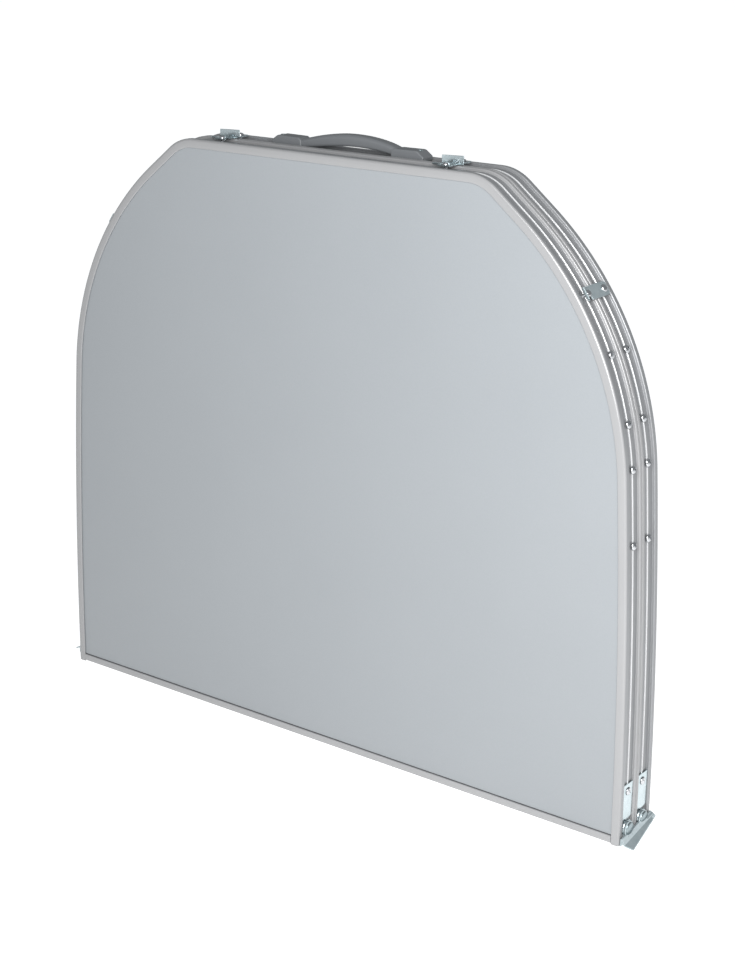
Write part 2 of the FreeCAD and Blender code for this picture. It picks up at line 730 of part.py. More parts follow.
def build_hinge_fittings(half, turned):
    """Steel plates, pivot bushes and plate screws at both ends of the hinge edge."""
    plates, bushes, screws = [], [], []
    seat = HALF_WIDTH - P.channel_depth + 0.05
    low_y = depth_y(P.lip_depth) + P.plate_side_gap
    high_y = depth_y(HALF_DEPTH - P.bead_height) - P.plate_side_gap
    for side in (1, -1):
        tag = "%s_%d" % (half, side + 1)
        slab = primitive("Box", "plate_slab_" + tag,
                         {"Length": P.plate_thickness, "Width": high_y - low_y,
                          "Height": P.plate_top - P.plate_bottom,
                          "Placement.Base.x": seat if side > 0 else -(seat + P.plate_thickness),
                          "Placement.Base.y": low_y, "Placement.Base.z": P.plate_bottom})
        hole = drill("plate_drill_" + tag, side, SIZES["plate_screw_height"], -2.0, 20.0,
                     P.screw_shank_radius + P.screw_clearance)
        ridge_slot = primitive("Box", "plate_ridge_" + tag,
                               {"Length": P.ridge_height + 0.1, "Width": P.ridge_width + 0.2,
                                "Height": P.plate_top - P.plate_bottom + 2.0,
                                "Placement.Base.x": (seat - 0.05) if side > 0
                                else -(seat + P.ridge_height + 0.05),
                                "Placement.Base.y": depth_y(P.ridge_depth) - P.ridge_width / 2 - 0.1,
                                "Placement.Base.z": P.plate_bottom - 1.0})
        plates.append(cut("plate_" + tag, slab, [hole, ridge_slot]))
        bush_seat = (side * seat.value, -PIVOT_Y.value, SIZES["pivot_height"])
        bush_length = P.channel_depth + 0.05
        drum = primitive("Cylinder", "bush_drum_" + tag,
                         {"Radius": P.bush_radius, "Height": bush_length}, facing(bush_seat, (side, 0, 0)))
        bore = primitive("Cylinder", "bush_bore_" + tag,
                         {"Radius": P.pin_radius + P.pin_clearance, "Height": bush_length + 2.0},
                         facing((bush_seat[0] - side, bush_seat[1], bush_seat[2]), (side, 0, 0)))
        groove = primitive("Box", "bush_groove_" + tag,
                           {"Length": P.ridge_height + 0.1, "Width": P.ridge_width + 0.2,
                            "Height": P.bush_radius * 2 + 2.0,
                            "Placement.Base.x": (seat - 0.05) if side > 0
                            else -(seat + P.ridge_height + 0.05),
                            "Placement.Base.y": depth_y(P.ridge_depth) - P.ridge_width / 2 - 0.1,
                            "Placement.Base.z": P.pivot_height - P.bush_radius - 1.0})
        bushes.append(cut("bush_" + tag, drum, [bore, groove]))
        screws.append(screw("plate_screw_" + tag, side, SIZES["plate_screw_height"],
                            SIZES["channel_depth"] - SIZES["plate_thickness"] - 0.55))
    finish(half + "_hinge_plates", group(half + "_hinge_plates", plates), turned)
    finish(half + "_hinge_bushes", group(half + "_hinge_bushes", bushes), turned)
    finish(half + "_hinge_screws", group(half + "_hinge_screws", screws), turned)


# ---------------------------------------------------------------- legs
LEG_ROWS = {"upper": (1, "upper_leg_height"), "lower": (-1, "lower_leg_height")}


def leg_place(side, alias):
    """Local Z runs along the leg from its pivot to its foot, local X faces out of the half."""
    point = (side * SIZES["leg_pivot_x"], depth_y(P.leg_axis_depth).value, SIZES[alias])
    return facing(point, (-side, 0, 0), (0, 1, 0))


def moved(placement, x=0.0, y=0.0, z=0.0):
    return placement.multiply(FreeCAD.Placement(V(x, y, z), FreeCAD.Rotation()))


def tube(name, outer, inner, length, placement):
    outside = primitive("Cylinder", name + "_outside", {"Radius": outer, "Height": length}, placement)
    inside = primitive("Cylinder", name + "_inside", {"Radius": inner, "Height": length + 2.0},
                       moved(placement, z=-1.0))
    return outside, inside


def build_legs(half, turned):
    brackets, pins = [], []
    bore = P.leg_radius - P.leg_wall
    for row, (side, alias) in LEG_ROWS.items():
        name = "%s_%s_leg" % (half, row)
        place = leg_place(side, alias)
        start = -SIZES["leg_overhang"]
        outside, inside = tube(name, P.leg_radius, bore, P.leg_length + P.leg_overhang,
                               moved(place, z=start))
        pin_half = SIZES["leg_radius"] + SIZES["bracket_gap"] + SIZES["bracket_wall"]
        across = FreeCAD.Rotation(V(1, 0, 0), -90)
        eye = primitive("Cylinder", name + "_eye",
                        {"Radius": P.leg_pin_radius + P.pin_clearance, "Height": P.leg_radius * 2 + 2.0},
                        place.multiply(FreeCAD.Placement(V(0, -SIZES["leg_radius"] - 1.0, 0), across)))
        finish(name + "_tube", cut(name + "_tube", outside, [inside, eye]), turned)

        slider_outer = bore - P.slide_clearance
        length = P.extension_length
        slider_out, slider_in = tube(name + "_slider", slider_outer, slider_outer - P.leg_wall, length,
                                     moved(place, z=SIZES["leg_length"] - SIZES["extension_length"] + 4.0))
        finish(name + "_extension", cut(name + "_extension", slider_out, [slider_in]), turned)

        foot_cap = primitive("Cylinder", name + "_foot_cap",
                             {"Radius": P.foot_radius, "Height": P.foot_height - 6.0},
                             moved(place, z=SIZES["leg_length"] + 4.3))
        foot_plug = primitive("Cylinder", name + "_foot_plug",
                              {"Radius": P.leg_radius - P.leg_wall * 2 - P.slide_clearance - 0.1,
                               "Height": 14.0},
                              moved(place, z=SIZES["leg_length"] - 8.0))
        foot = merged(name + "_foot", [foot_cap, foot_plug])
        foot.Label = name + "_foot"
        finish(name + "_foot", foot, turned)

        cheek_inner = SIZES["leg_radius"] + SIZES["bracket_gap"]
        wall = SIZES["bracket_wall"]
        back = SIZES["leg_axis_depth"] - PANEL_BACK.value
        half_length = SIZES["bracket_length"] / 2
        base = primitive("Box", name + "_base",
                         {"Length": P.bracket_wall, "Width": (P.leg_radius + P.bracket_gap + P.bracket_wall) * 2,
                          "Height": P.bracket_length},
                         moved(place, x=-back, y=-cheek_inner - wall, z=-half_length))
        cheeks = []
        for flank in (-1, 1):
            y = cheek_inner if flank > 0 else -cheek_inner - wall
            cheeks.append(primitive("Box", "%s_cheek_%d" % (name, flank + 1),
                                    {"Length": P.leg_axis_depth - PANEL_BACK + 8.0,
                                     "Width": P.bracket_wall, "Height": P.bracket_length},
                                    moved(place, x=-back, y=y, z=-half_length)))
        pin_eye = primitive("Cylinder", name + "_pin_eye",
                            {"Radius": P.leg_pin_radius + 0.05, "Height": P.leg_radius * 2 + 10.0},
                            place.multiply(FreeCAD.Placement(V(0, -SIZES["leg_radius"] - 5.0, 0), across)))
        brackets.append(cut(name + "_bracket", merged(name + "_channel", [base] + cheeks), [pin_eye]))
        pins.append(primitive("Cylinder", name + "_pin",
                              {"Radius": P.leg_pin_radius,
                               "Height": (P.leg_radius + P.bracket_gap + P.bracket_wall) * 2 + 1.6},
                              place.multiply(FreeCAD.Placement(V(0, -pin_half - 0.8, 0), across))))
    finish(half + "_leg_brackets", group(half + "_leg_brackets", brackets), turned)
    finish(half + "_leg_pins", group(half + "_leg_pins", pins), turned)


# ---------------------------------------------------------------- hinge links
def link_bar(name):
    """Right-hand link bar: a low web under the front pivot that climbs to the rear one, with a tapering flange."""
    body = new_body(name + "_body")
    web = new_sketch(body, name + "_web", "YZ_Plane")
    low, rise, height = P.link_floor_gap, P.link_rise, P.link_height
    polygon(web, [(-P.link_reach, low), (P.link_reach, low + rise), (P.link_reach, low + rise + height),
                  (-P.link_reach, low + height)])
    bind(web, "AttachmentOffset.Base.z", LINK_X)
    pad(body, web, P.link_thickness, name + "_web_pad")
    sections = []
    for tag, y, base, width, drop in (("wide", -P.link_reach, low, P.link_flange_wide, 0.6),
                                      ("narrow", P.link_reach, low + rise, P.link_flange_narrow, -3.2)):
        sketch = new_sketch(body, "%s_%s" % (name, tag), "XZ_Plane", -y)
        edge = LINK_X + width
        polygon(sketch, [(LINK_X, base), (LINK_X, base + height), (LINK_X + 2.7, base + height),
                         (LINK_X + 5.6, base - drop + 3.0), (edge, base - drop + 1.4), (edge, base - drop),
                         (LINK_X + 3.0, base - drop)])
        sections.append(sketch)
    loft = body.newObject("PartDesign::AdditiveLoft", name + "_flange")
    loft.Profile = sections[0]
    loft.Sections = [sections[1]]
    loft.Ruled = True
    return body


def build_hinge_links():
    bars, pins = [], []
    pivot_y, pivot_z = PIVOT_Y.value, SIZES["pivot_height"]
    for side in (1, -1):
        tag = "right" if side > 0 else "left"
        body = link_bar("link_" + tag)
        if side < 0:
            body.Placement = TURNED
        ears, holes = [], []
        for y in (-1, 1):
            ears.append(primitive("Cylinder", "link_ear_%s_%d" % (tag, y + 1),
                                  {"Radius": P.link_ear_radius, "Height": P.link_thickness},
                                  facing((side * LINK_X.value, y * pivot_y, pivot_z), (side, 0, 0))))
            holes.append(primitive("Cylinder", "link_eye_%s_%d" % (tag, y + 1),
                                   {"Radius": P.pin_radius + 0.02, "Height": P.link_thickness + 5.0},
                                   facing((side * (LINK_X.value - 1.0), y * pivot_y, pivot_z), (side, 0, 0))))
            pins.append(primitive("Cylinder", "pin_%s_%d" % (tag, y + 1),
                                  {"Radius": P.pin_radius, "Height": P.link_gap + P.link_thickness + 9.0},
                                  facing((side * (HALF_WIDTH.value - 9.0), y * pivot_y, pivot_z),
                                         (side, 0, 0))))
        bar = cut("link_bar_" + tag, merged("link_blank_" + tag, [body] + ears), holes)
        bar.Refine = False
        bars.append(bar)
    finish("hinge_link_bars", group("hinge_link_bars", bars))
    finish("hinge_pins", group("hinge_pins", pins))


# ---------------------------------------------------------------- latches
def latch_spots():
    """Rivet positions on the outline above the rear ridge, with outward and swing directions."""
    ridge_y = OUTER_Y.value - SIZES["ridge_depth"]
    spots = {}
    for tag, side in (("right", 1), ("left", -1)):
        x, z, angle = outline_at(SIZES["side_latch_height"])
        spots["side_latch_" + tag] = ((side * x, ridge_y, z), (side * math.cos(angle), 0, math.sin(angle)))
    for tag in ("left", "right"):
        x = SIZES[tag + "_latch_x"]
        spots["top_latch_" + tag] = ((x, ridge_y, SIZES["half_length"]), (0, 0, 1))
    return spots


def latch_plate(name, with_tab):
    """Pressed plate: local X runs from the rivet to the nose, local Z points away from the case."""
    body = new_body(name + "_plate")
    sketch = new_sketch(body, name + "_shape", "XY_Plane", P.latch_gap)
    half = P.latch_width / 2
    square_loop(sketch, [("x", -P.latch_tail), ("y", -half), ("x", P.latch_nose), ("y", half)],
                {0: 3.0, 1: 2.0, 2: 2.0, 3: 3.0})
    circle(sketch, 0.0, 0.0, P.rivet_radius + P.pin_clearance)
    pad(body, sketch, P.latch_thickness, name + "_pad")
    if with_tab:
        tab = new_sketch(body, name + "_tab", "XY_Plane", P.latch_gap)
        centre_x = SIZES["folded_thickness"] / 2 - SIZES["ridge_depth"] + 2.2
        along, across = dim_cos(P.thumb_tab_angle), dim_sin(P.thumb_tab_angle)
        reach, thick = P.thumb_tab_width / 2, P.latch_thickness / 2
        polygon(tab, [(centre_x - reach * across * run + thick * along * flank,
                       reach * along * run + thick * across * flank)
                      for run, flank in ((-1, -1), (-1, 1), (1, 1), (1, -1))])
        pad(body, tab, P.thumb_tab_height, name + "_tab_pad")
    else:
        nose = new_sketch(body, name + "_nose", "XZ_Plane")
        tip = P.latch_nose
        top = P.latch_gap + P.latch_thickness
        polygon(nose, [(tip - 3.0, P.latch_gap), (tip + 1.6, P.latch_gap + 2.0), (tip + 3.0, P.latch_gap + 5.0),
                       (tip + 1.6, P.latch_gap + 5.4), (tip + 0.4, top + 1.6), (tip - 3.0, top)])
        pad(body, nose, P.latch_width - 4.0, name + "_nose_pad", midplane=True)
    return body


def build_latches():
    rivets, studs = {"side": [], "top": []}, {"side": [], "top": []}
    for name, (point, outward) in latch_spots().items():
        kind = name.split("_")[0]
        plate = latch_plate(name, with_tab=kind == "top")
        plate.Placement = facing(point, outward, (0, -1, 0))
        plate.Label = name
        finish(name, plate)
        place = facing(point, outward, (0, -1, 0))
        depth = SIZES["channel_depth"]
        top = SIZES["latch_gap"] + SIZES["latch_thickness"] + 0.3
        shaft = primitive("Cylinder", name + "_rivet_shaft",
                          {"Radius": P.rivet_radius, "Height": P.channel_depth + 3.0 + top + 0.2},
                          moved(place, z=-depth - 3.0))
        shoulder = primitive("Cylinder", name + "_rivet_shoulder",
                             {"Radius": P.rivet_head_radius, "Height": P.channel_depth - P.ridge_height - 0.3},
                             moved(place, z=-depth + SIZES["ridge_height"] + 0.1))
        head = primitive("Cone", name + "_rivet_head",
                         {"Radius1": P.rivet_head_radius, "Radius2": P.rivet_head_radius * 0.6,
                          "Height": 1.3}, moved(place, z=top))
        rivets[kind].append(merged(name + "_rivet", [shaft, shoulder, head]))
        forward = SIZES["folded_thickness"] - 2 * SIZES["ridge_depth"]
        stud_shaft = primitive("Cylinder", name + "_stud_shaft",
                               {"Radius": P.rivet_radius, "Height": P.channel_depth + 2.6},
                               moved(place, x=forward, z=-depth - 3.0))
        stud_head = primitive("Cylinder", name + "_stud_head",
                              {"Radius": P.stud_radius, "Height": P.channel_depth - P.ridge_height - 0.3},
                              moved(place, x=forward, z=-depth + SIZES["ridge_height"] + 0.1))
        studs[kind].append(merged(name + "_stud", [stud_shaft, stud_head]))
    for kind in ("side", "top"):
        finish("rear_%s_latch_rivets" % kind, group("rear_%s_latch_rivets" % kind, rivets[kind]))
        finish("front_%s_latch_studs" % kind, group("front_%s_latch_studs" % kind, studs[kind]))


# ---------------------------------------------------------------- handle
def build_handle():
    """Strap handle on the flat end of the rear half, its ends caught under two moulded mounts."""
    floor = P.half_length - P.channel_depth + 0.05
    top = P.half_length + P.mount_height
    middle_y = P.handle_centre_y
    mounts, screws = [], []
    for side in (1, -1):
        name = "handle_mount_%d" % (side + 1)
        body = new_body(name)
        sketch = new_sketch(body, name + "_shape", "XZ_Plane", -middle_y)
        inner, outer = P.handle_inner, P.handle_outer
        points = [(inner, floor), (outer, floor), (outer, P.half_length + 2.0), (outer - 9.0, top),
                  (inner + 4.0, top), (inner, top - 2.0)]
        polygon(sketch, [(x if side > 0 else -x, z) for x, z in points])
        pad(body, sketch, P.handle_width, name + "_pad", midplane=True)
        ridge_groove = primitive("Box", name + "_groove",
                                 {"Length": outer - inner + 2.0, "Width": P.ridge_width + 0.4,
                                  "Height": P.ridge_height + 0.2,
                                  "Placement.Base.x": (inner - 1.0) if side > 0 else -(outer + 1.0),
                                  "Placement.Base.y": OUTER_Y - P.ridge_depth - P.ridge_width / 2 - 0.2,
                                  "Placement.Base.z": floor - 0.05})
        pocket = primitive("Box", name + "_strap_slot",
                           {"Length": 26.0, "Width": P.handle_width - 5.0, "Height": P.grip_thickness * 0.6 + 0.8,
                            "Placement.Base.x": (inner - 1.0) if side > 0 else -(inner + 25.0),
                            "Placement.Base.y": middle_y - (P.handle_width - 5.0) / 2,
                            "Placement.Base.z": P.half_length + 0.6})
        centre_x = side * HANDLE_SCREW_X.value
        bore = primitive("Cylinder", name + "_bore",
                         {"Radius": P.screw_shank_radius + 0.1, "Height": 40.0},
                         facing((centre_x, SIZES["handle_centre_y"], SIZES["half_length"] - 20.0), (0, 0, 1)))
        mounts.append(cut(name + "_cut", body, [ridge_groove, pocket, bore]))
        seat = SIZES["half_length"] + SIZES["mount_height"] + 0.1
        shank = primitive("Cylinder", name + "_screw_shank",
                          {"Radius": P.screw_shank_radius,
                           "Height": P.mount_height + P.channel_depth + P.web_thickness + 2.0},
                          facing((centre_x, SIZES["handle_centre_y"], seat), (0, 0, -1)))
        head = primitive("Cylinder", name + "_screw_head",
                         {"Radius": P.screw_head_radius, "Height": P.screw_head_height},
                         facing((centre_x, SIZES["handle_centre_y"], seat), (0, 0, 1)))
        screws.append(merged(name + "_screw", [shank, head]))
    finish("handle_mounts", group("handle_mounts", mounts))
    finish("handle_screws", group("handle_screws", screws))

    body = new_body("handle_grip")
    sketch = new_sketch(body, "handle_grip_shape", "XZ_Plane", -middle_y)
    tongue = P.grip_thickness * 0.6
    base = P.half_length + 1.0
    span = P.handle_inner + 22.0
    shoulder = P.handle_inner - 4.0
    crown = P.half_length + P.grip_rise
    flat = 24.0
    right = [(span, base), (span, base + tongue), (shoulder, base + tongue), (flat, crown)]
    left = [(-x if isinstance(x, Dim) else Dim.of(-x), z) for x, z in reversed(right)]
    under = [(-shoulder + 4.0, base), (Dim.of(-flat), crown - P.grip_thickness),
             (Dim.of(flat), crown - P.grip_thickness), (shoulder - 4.0, base)]
    polygon(sketch, right + left + under)
    pad(body, sketch, P.handle_width - 6.0, "handle_grip_pad", midplane=True)
    finish("handle_grip", body)


# ---------------------------------------------------------------- assembly
for half, turned in (("front", False), ("rear", True)):
    build_panel(half, turned)
    build_edge_profile(half, turned)
    build_hinge_profile(half, turned)
    build_crossbars(half, turned)
    build_stiffeners(half, turned)
    build_frame_screws(half, turned)
    build_hinge_fittings(half, turned)
    build_legs(half, turned)
build_hinge_links()
build_latches()
build_handle()
DOC.recompute()

faults = [item.Name for item in DOC.Objects if "Invalid" in item.State or "Error" in item.State]
if faults:
    raise RuntimeError("objects with faults: " + ", ".join(faults))
os.makedirs("parts", exist_ok=True)
for name, item in NODES.items():
    shape = item.Shape
    if shape.isNull() or not shape.isValid() or not shape.Solids:
        raise RuntimeError("bad shape: " + name)
for name, item in NODES.items():
    item.Shape.exportStep("parts/%s.step" % name)
print("nodes", len(NODES))
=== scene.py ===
"""Studio scene for a suitcase-style folding table: detailed pieces, finishes, light and camera."""
import json
import logging
import math
from dataclasses import dataclass, field
from enum import Enum

import bmesh
import bpy
from mathutils import Matrix, Vector

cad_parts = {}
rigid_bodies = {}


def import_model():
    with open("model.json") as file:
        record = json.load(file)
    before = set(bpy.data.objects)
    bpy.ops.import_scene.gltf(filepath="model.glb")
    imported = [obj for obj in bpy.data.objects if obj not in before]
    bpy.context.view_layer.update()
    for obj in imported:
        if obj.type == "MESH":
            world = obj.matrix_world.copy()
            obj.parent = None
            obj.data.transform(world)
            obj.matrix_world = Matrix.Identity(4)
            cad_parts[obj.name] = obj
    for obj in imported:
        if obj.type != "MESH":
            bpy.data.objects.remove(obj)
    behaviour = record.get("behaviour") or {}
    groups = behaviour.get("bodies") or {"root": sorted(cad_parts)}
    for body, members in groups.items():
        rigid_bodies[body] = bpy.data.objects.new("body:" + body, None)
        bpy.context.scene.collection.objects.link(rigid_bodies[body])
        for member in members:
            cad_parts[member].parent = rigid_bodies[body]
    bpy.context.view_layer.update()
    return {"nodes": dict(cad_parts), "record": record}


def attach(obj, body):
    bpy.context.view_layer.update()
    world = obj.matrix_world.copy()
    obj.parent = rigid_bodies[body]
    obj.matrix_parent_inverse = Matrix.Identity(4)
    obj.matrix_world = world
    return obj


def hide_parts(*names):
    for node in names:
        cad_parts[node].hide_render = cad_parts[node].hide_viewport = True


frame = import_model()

LOG = logging.getLogger("folding_table")
MM = 0.001
FULL_TURN = 6.283
HALF_THICKNESS = 33.5
HALF_DEPTH = 33.2
PIVOT_HEIGHT = 15.0
PIVOT_Y = 15.3
RIDGE_DEPTH = 18.2
CHANNEL_DEPTH = 3.4
Point2 = tuple[float, float]
HALF_TURN = Matrix.Rotation(math.pi, 4, "Z")


class Half(Enum):
    """The two matching halves of the case."""

    FRONT = "front"
    REAR = "rear"

    @property
    def turn(self) -> Matrix:
        """Placement of the half: the rear one is the front one turned about Z."""
        return Matrix.Identity(4) if self is Half.FRONT else HALF_TURN

    @property
    def body(self) -> str:
        """Name of the moving body that this half rides on."""
        return f"{self.value}_half"


class Side(Enum):
    """Right or left end of the hinge edge."""

    RIGHT = 1
    LEFT = -1


# ------------------------------------------------------------------ node helpers
class NodeSheet:
    """Small wrapper that lays out nodes of one tree."""

    def __init__(self, tree: bpy.types.NodeTree) -> None:
        """Keeps the tree and starts at the left."""
        self.tree = tree
        self.column = 0

    def add(self, kind: str, inputs: dict[str, object] | None = None, **values: object) -> bpy.types.Node:
        """Adds a node and sets its plain properties.

        Args:
            kind: node type name.
            inputs: values of its sockets by name.
            **values: attribute names and values.

        Returns:
            The new node.
        """
        node = self.tree.nodes.new(kind)
        node.location = (self.column * 190, 0)
        self.column += 1
        for name, value in values.items():
            setattr(node, name, value)
        for name, value in (inputs or {}).items():
            node.inputs[name].default_value = value
        return node

    def join(self, source: bpy.types.NodeSocket, target: bpy.types.NodeSocket) -> None:
        """Links two sockets."""
        self.tree.links.new(source, target)

    def wire(self, source: bpy.types.Node, output: str, target: bpy.types.Node, entry: str) -> None:
        """Links an output of one node to an input of another, both by name."""
        self.join(source.outputs[output], target.inputs[entry])

    def end(self, source: bpy.types.Node, last: bpy.types.Node, output: str) -> None:
        """Ends a geometry tree: real geometry, the finish and the group output.

        Args:
            source: group input with a Finish socket.
            last: node that makes the geometry.
            output: name of its geometry output.
        """
        real = self.add("GeometryNodeRealizeInstances")
        self.wire(last, output, real, "Geometry")
        dress = self.add("GeometryNodeSetMaterial")
        self.wire(real, "Geometry", dress, "Geometry")
        self.wire(source, "Finish", dress, "Material")
        self.wire(dress, "Geometry", self.add("NodeGroupOutput"), "Geometry")


def ramp(sheet: NodeSheet, source: bpy.types.NodeSocket, stops: list[tuple[float, object]]) -> bpy.types.NodeSocket:
    """Colour ramp over a value.

    Args:
        sheet: node sheet to draw on.
        source: value socket that drives the ramp.
        stops: positions with grey levels or colours.

    Returns:
        The ramp's colour socket.
    """
    node = sheet.add("ShaderNodeValToRGB")
    while len(node.color_ramp.elements) < len(stops):
        node.color_ramp.elements.new(0.5)
    for element, (place, tone) in zip(node.color_ramp.elements, stops):
        element.position = place
        element.color = (*tone, 1.0) if isinstance(tone, tuple) else (tone, tone, tone, 1.0)
    sheet.join(source, node.inputs["Fac"])
    return node.outputs["Color"]


@dataclass(frozen=True)
class Finish:
    """One surface finish built from procedural nodes."""

    name: str
    slot: str
    tones: tuple[tuple[float, float, float], tuple[float, float, float]]
    roughness: tuple[float, float]
    metallic: float = 0.0
    grain: tuple[float, float, float] = (60.0, 60.0, 60.0)
    grain_detail: float = 4.0
    bump: float = 0.15
    bump_distance: float = 0.0001
    along_surface: bool = False
    coat: float = 0.0
    specular: float = 0.5

    def build(self) -> bpy.types.Material:
        """Makes the material.

        Returns:
            A material whose colour, roughness and relief come from noise on the piece.
        """
        material = bpy.data.materials.new(self.name)
        material.use_nodes = True
        material.node_tree.nodes.clear()
        sheet = NodeSheet(material.node_tree)
        coords = sheet.add("ShaderNodeTexCoord")
        mapping = sheet.add("ShaderNodeMapping", {"Scale": self.grain})
        sheet.join(coords.outputs["UV" if self.along_surface else "Object"], mapping.inputs["Vector"])
        fine = sheet.add("ShaderNodeTexNoise", {"Scale": 1.0, "Detail": self.grain_detail, "Roughness": 0.6})
        sheet.wire(mapping, "Vector", fine, "Vector")
        broad = sheet.add("ShaderNodeTexNoise", {"Scale": 7.0, "Detail": 3.0})
        sheet.wire(coords, "Object", broad, "Vector")
        shader = sheet.add("ShaderNodeBsdfPrincipled", {
            "Metallic": self.metallic, "Specular IOR Level": self.specular, "Coat Weight": self.coat,
            "Coat Roughness": 0.25})
        mix = sheet.add("ShaderNodeMix", {"Factor": 0.4}, data_type="FLOAT")
        sheet.wire(fine, "Fac", mix, "A")
        sheet.wire(broad, "Fac", mix, "B")
        mixed = mix.outputs["Result"]
        for entry, (low, high) in (("Base Color", self.tones), ("Roughness", self.roughness)):
            sheet.join(ramp(sheet, mixed, [(0.3, low), (0.7, high)]), shader.inputs[entry])
        bump = sheet.add("ShaderNodeBump", {"Strength": self.bump, "Distance": self.bump_distance})
        sheet.wire(fine, "Fac", bump, "Height")
        sheet.wire(bump, "Normal", shader, "Normal")
        output = sheet.add("ShaderNodeOutputMaterial")
        sheet.wire(shader, "BSDF", output, "Surface")
        return material


class Finishes:
    """Every finish on the table, built once."""

    def __init__(self) -> None:
        """Builds the materials."""
        self.slots: dict[str, str] = {}
        self.laminate = self._make(Finish(
            "grey_laminate", "panel_laminate", ((0.198, 0.212, 0.224), (0.212, 0.226, 0.238)), (0.32, 0.38),
            grain=(900.0, 900.0, 900.0), grain_detail=2.0, bump=0.05, coat=0.15))
        self.aluminium = self._make(Finish(
            "satin_aluminium", "anodised_aluminium", ((0.235, 0.236, 0.24), (0.262, 0.263, 0.267)), (0.27, 0.33),
            metallic=0.2, grain=(5.0, 3200.0, 1.0), grain_detail=2.0, bump=0.02, along_surface=True))
        self.channel = self._make(Finish(
            "brushed_channel", "anodised_aluminium", ((0.22, 0.225, 0.232), (0.25, 0.255, 0.263)), (0.33, 0.39),
            metallic=0.45, grain=(4.0, 3000.0, 1.0), grain_detail=2.0, bump=0.03, along_surface=True))
        # Raised lines: a lighter copy of the same aluminium, a painted highlight on the crests.
        self.ridge = self._make(Finish(
            "burnished_ridge", "anodised_aluminium", ((0.50, 0.505, 0.512), (0.57, 0.575, 0.582)), (0.24, 0.30),
            metallic=0.4, grain=(4.0, 3000.0, 1.0), grain_detail=2.0, bump=0.02, along_surface=True))
        self.mill_aluminium = self._make(Finish(
            "mill_aluminium", "leg_aluminium", ((0.66, 0.67, 0.68), (0.76, 0.77, 0.78)), (0.30, 0.42),
            metallic=1.0, grain=(8.0, 900.0, 900.0), grain_detail=3.0, bump=0.06))
        self.zinc = self._make(Finish(
            "bright_zinc", "zinc_steel", ((0.38, 0.445, 0.465), (0.50, 0.56, 0.58)), (0.20, 0.32),
            metallic=1.0, grain=(110.0, 110.0, 110.0), grain_detail=4.0, bump=0.08))
        self.dark_zinc = self._make(Finish(
            "dark_zinc", "zinc_steel", ((0.20, 0.245, 0.26), (0.31, 0.36, 0.375)), (0.24, 0.40),
            metallic=1.0, grain=(200.0, 200.0, 200.0), grain_detail=5.0, bump=0.12))
        # Darker zinc: the side latch plates' own tone, and on the link bars the painted shade of the faces turned away
        # from the light.
        self.worn_zinc = self._make(Finish(
            "worn_zinc", "zinc_steel", ((0.225, 0.27, 0.285), (0.32, 0.365, 0.38)), (0.26, 0.38),
            metallic=0.45, grain=(160.0, 160.0, 160.0), grain_detail=5.0, bump=0.1))
        # Lighter zinc: on the link bars, painted light on the faces turned towards the light.
        self.pale_zinc = self._make(Finish(
            "pale_zinc", "zinc_steel", ((0.40, 0.46, 0.48), (0.52, 0.58, 0.60)), (0.24, 0.34),
            metallic=0.35, grain=(160.0, 160.0, 160.0), grain_detail=5.0, bump=0.08))
        self.steel = self._make(Finish(
            "polished_steel", "bright_screw", ((0.42, 0.43, 0.445), (0.55, 0.56, 0.575)), (0.14, 0.22),
            metallic=1.0, grain=(500.0, 500.0, 500.0), bump=0.08))
        self.grey_plastic = self._make(Finish(
            "grey_plastic", "grey_plastic", ((0.098, 0.104, 0.11), (0.116, 0.122, 0.129)), (0.42, 0.56),
            grain=(1500.0, 1500.0, 1500.0), grain_detail=2.0, bump=0.25))
        self.black_plastic = self._make(Finish(
            "black_plastic", "black_plastic", ((0.012, 0.012, 0.013), (0.022, 0.022, 0.024)), (0.45, 0.6),
            grain=(1200.0, 1200.0, 1200.0), grain_detail=2.0, bump=0.3))

    def _make(self, finish: Finish) -> bpy.types.Material:
        """Builds one finish and remembers its slot."""
        material = finish.build()
        self.slots[material.name] = finish.slot
        return material

    def slot_of(self, material: bpy.types.Material) -> str:
        """Record slot that a material belongs to."""
        return self.slots[material.name]


# ------------------------------------------------------------------ mesh helpers
def tidy_mesh(mesh: bpy.types.Mesh, sharp: float = 32.0) -> None:
    """Merges doubles, points faces outwards and shades smooth between sharp edges.

    Args:
        mesh: mesh to finish.
        sharp: angle in degrees above which an edge stays crisp.
    """
    work = bmesh.new()
    work.from_mesh(mesh)
    bmesh.ops.remove_doubles(work, verts=work.verts, dist=1e-6)
    bmesh.ops.recalc_face_normals(work, faces=work.faces)
    work.to_mesh(mesh)
    work.free()
    for polygon in mesh.polygons:
        polygon.use_smooth = True
    mesh.set_sharp_from_angle(angle=math.radians(sharp))
    mesh.update()


def linked(name: str, data: bpy.types.ID) -> bpy.types.Object:
    """New object in the scene's collection."""
    item = bpy.data.objects.new(name, data)
    bpy.context.scene.collection.objects.link(item)
    return item


def new_piece(name: str, mesh: bpy.types.Mesh, material: bpy.types.Material, sharp: float = 32.0) -> bpy.types.Object:
    """Object at the origin from a finished mesh.

    Args:
        name: object name.
        mesh: its mesh in row-frame metres.
        material: finish to wear.
        sharp: crisp-edge angle in degrees.

    Returns:
        The linked object.
    """
    tidy_mesh(mesh, sharp)
    mesh.materials.clear()
    mesh.materials.append(material)
    return linked(name.replace(" ", "_"), mesh)


def bevelled(item: bpy.types.Object, width: float, segments: int = 2) -> bpy.types.Object:
    """Adds a live rounding of its edges, in millimetres."""
    modifier = item.modifiers.new("rounded edges", "BEVEL")
    modifier.width = width * MM
    modifier.segments = segments
    modifier.limit_method = "ANGLE"
    modifier.angle_limit = math.radians(35)
    modifier.harden_normals = True
    return item


def register(item: bpy.types.Object, body: str, slot: str, *nodes: str) -> bpy.types.Object:
    """Puts a piece on its body in place of CAD nodes and logs it."""
    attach(item, body)
    if nodes:
        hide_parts(*nodes)
    LOG.info("%s rides %s (%d faces)", item.name, body, len(item.data.polygons))
    return item


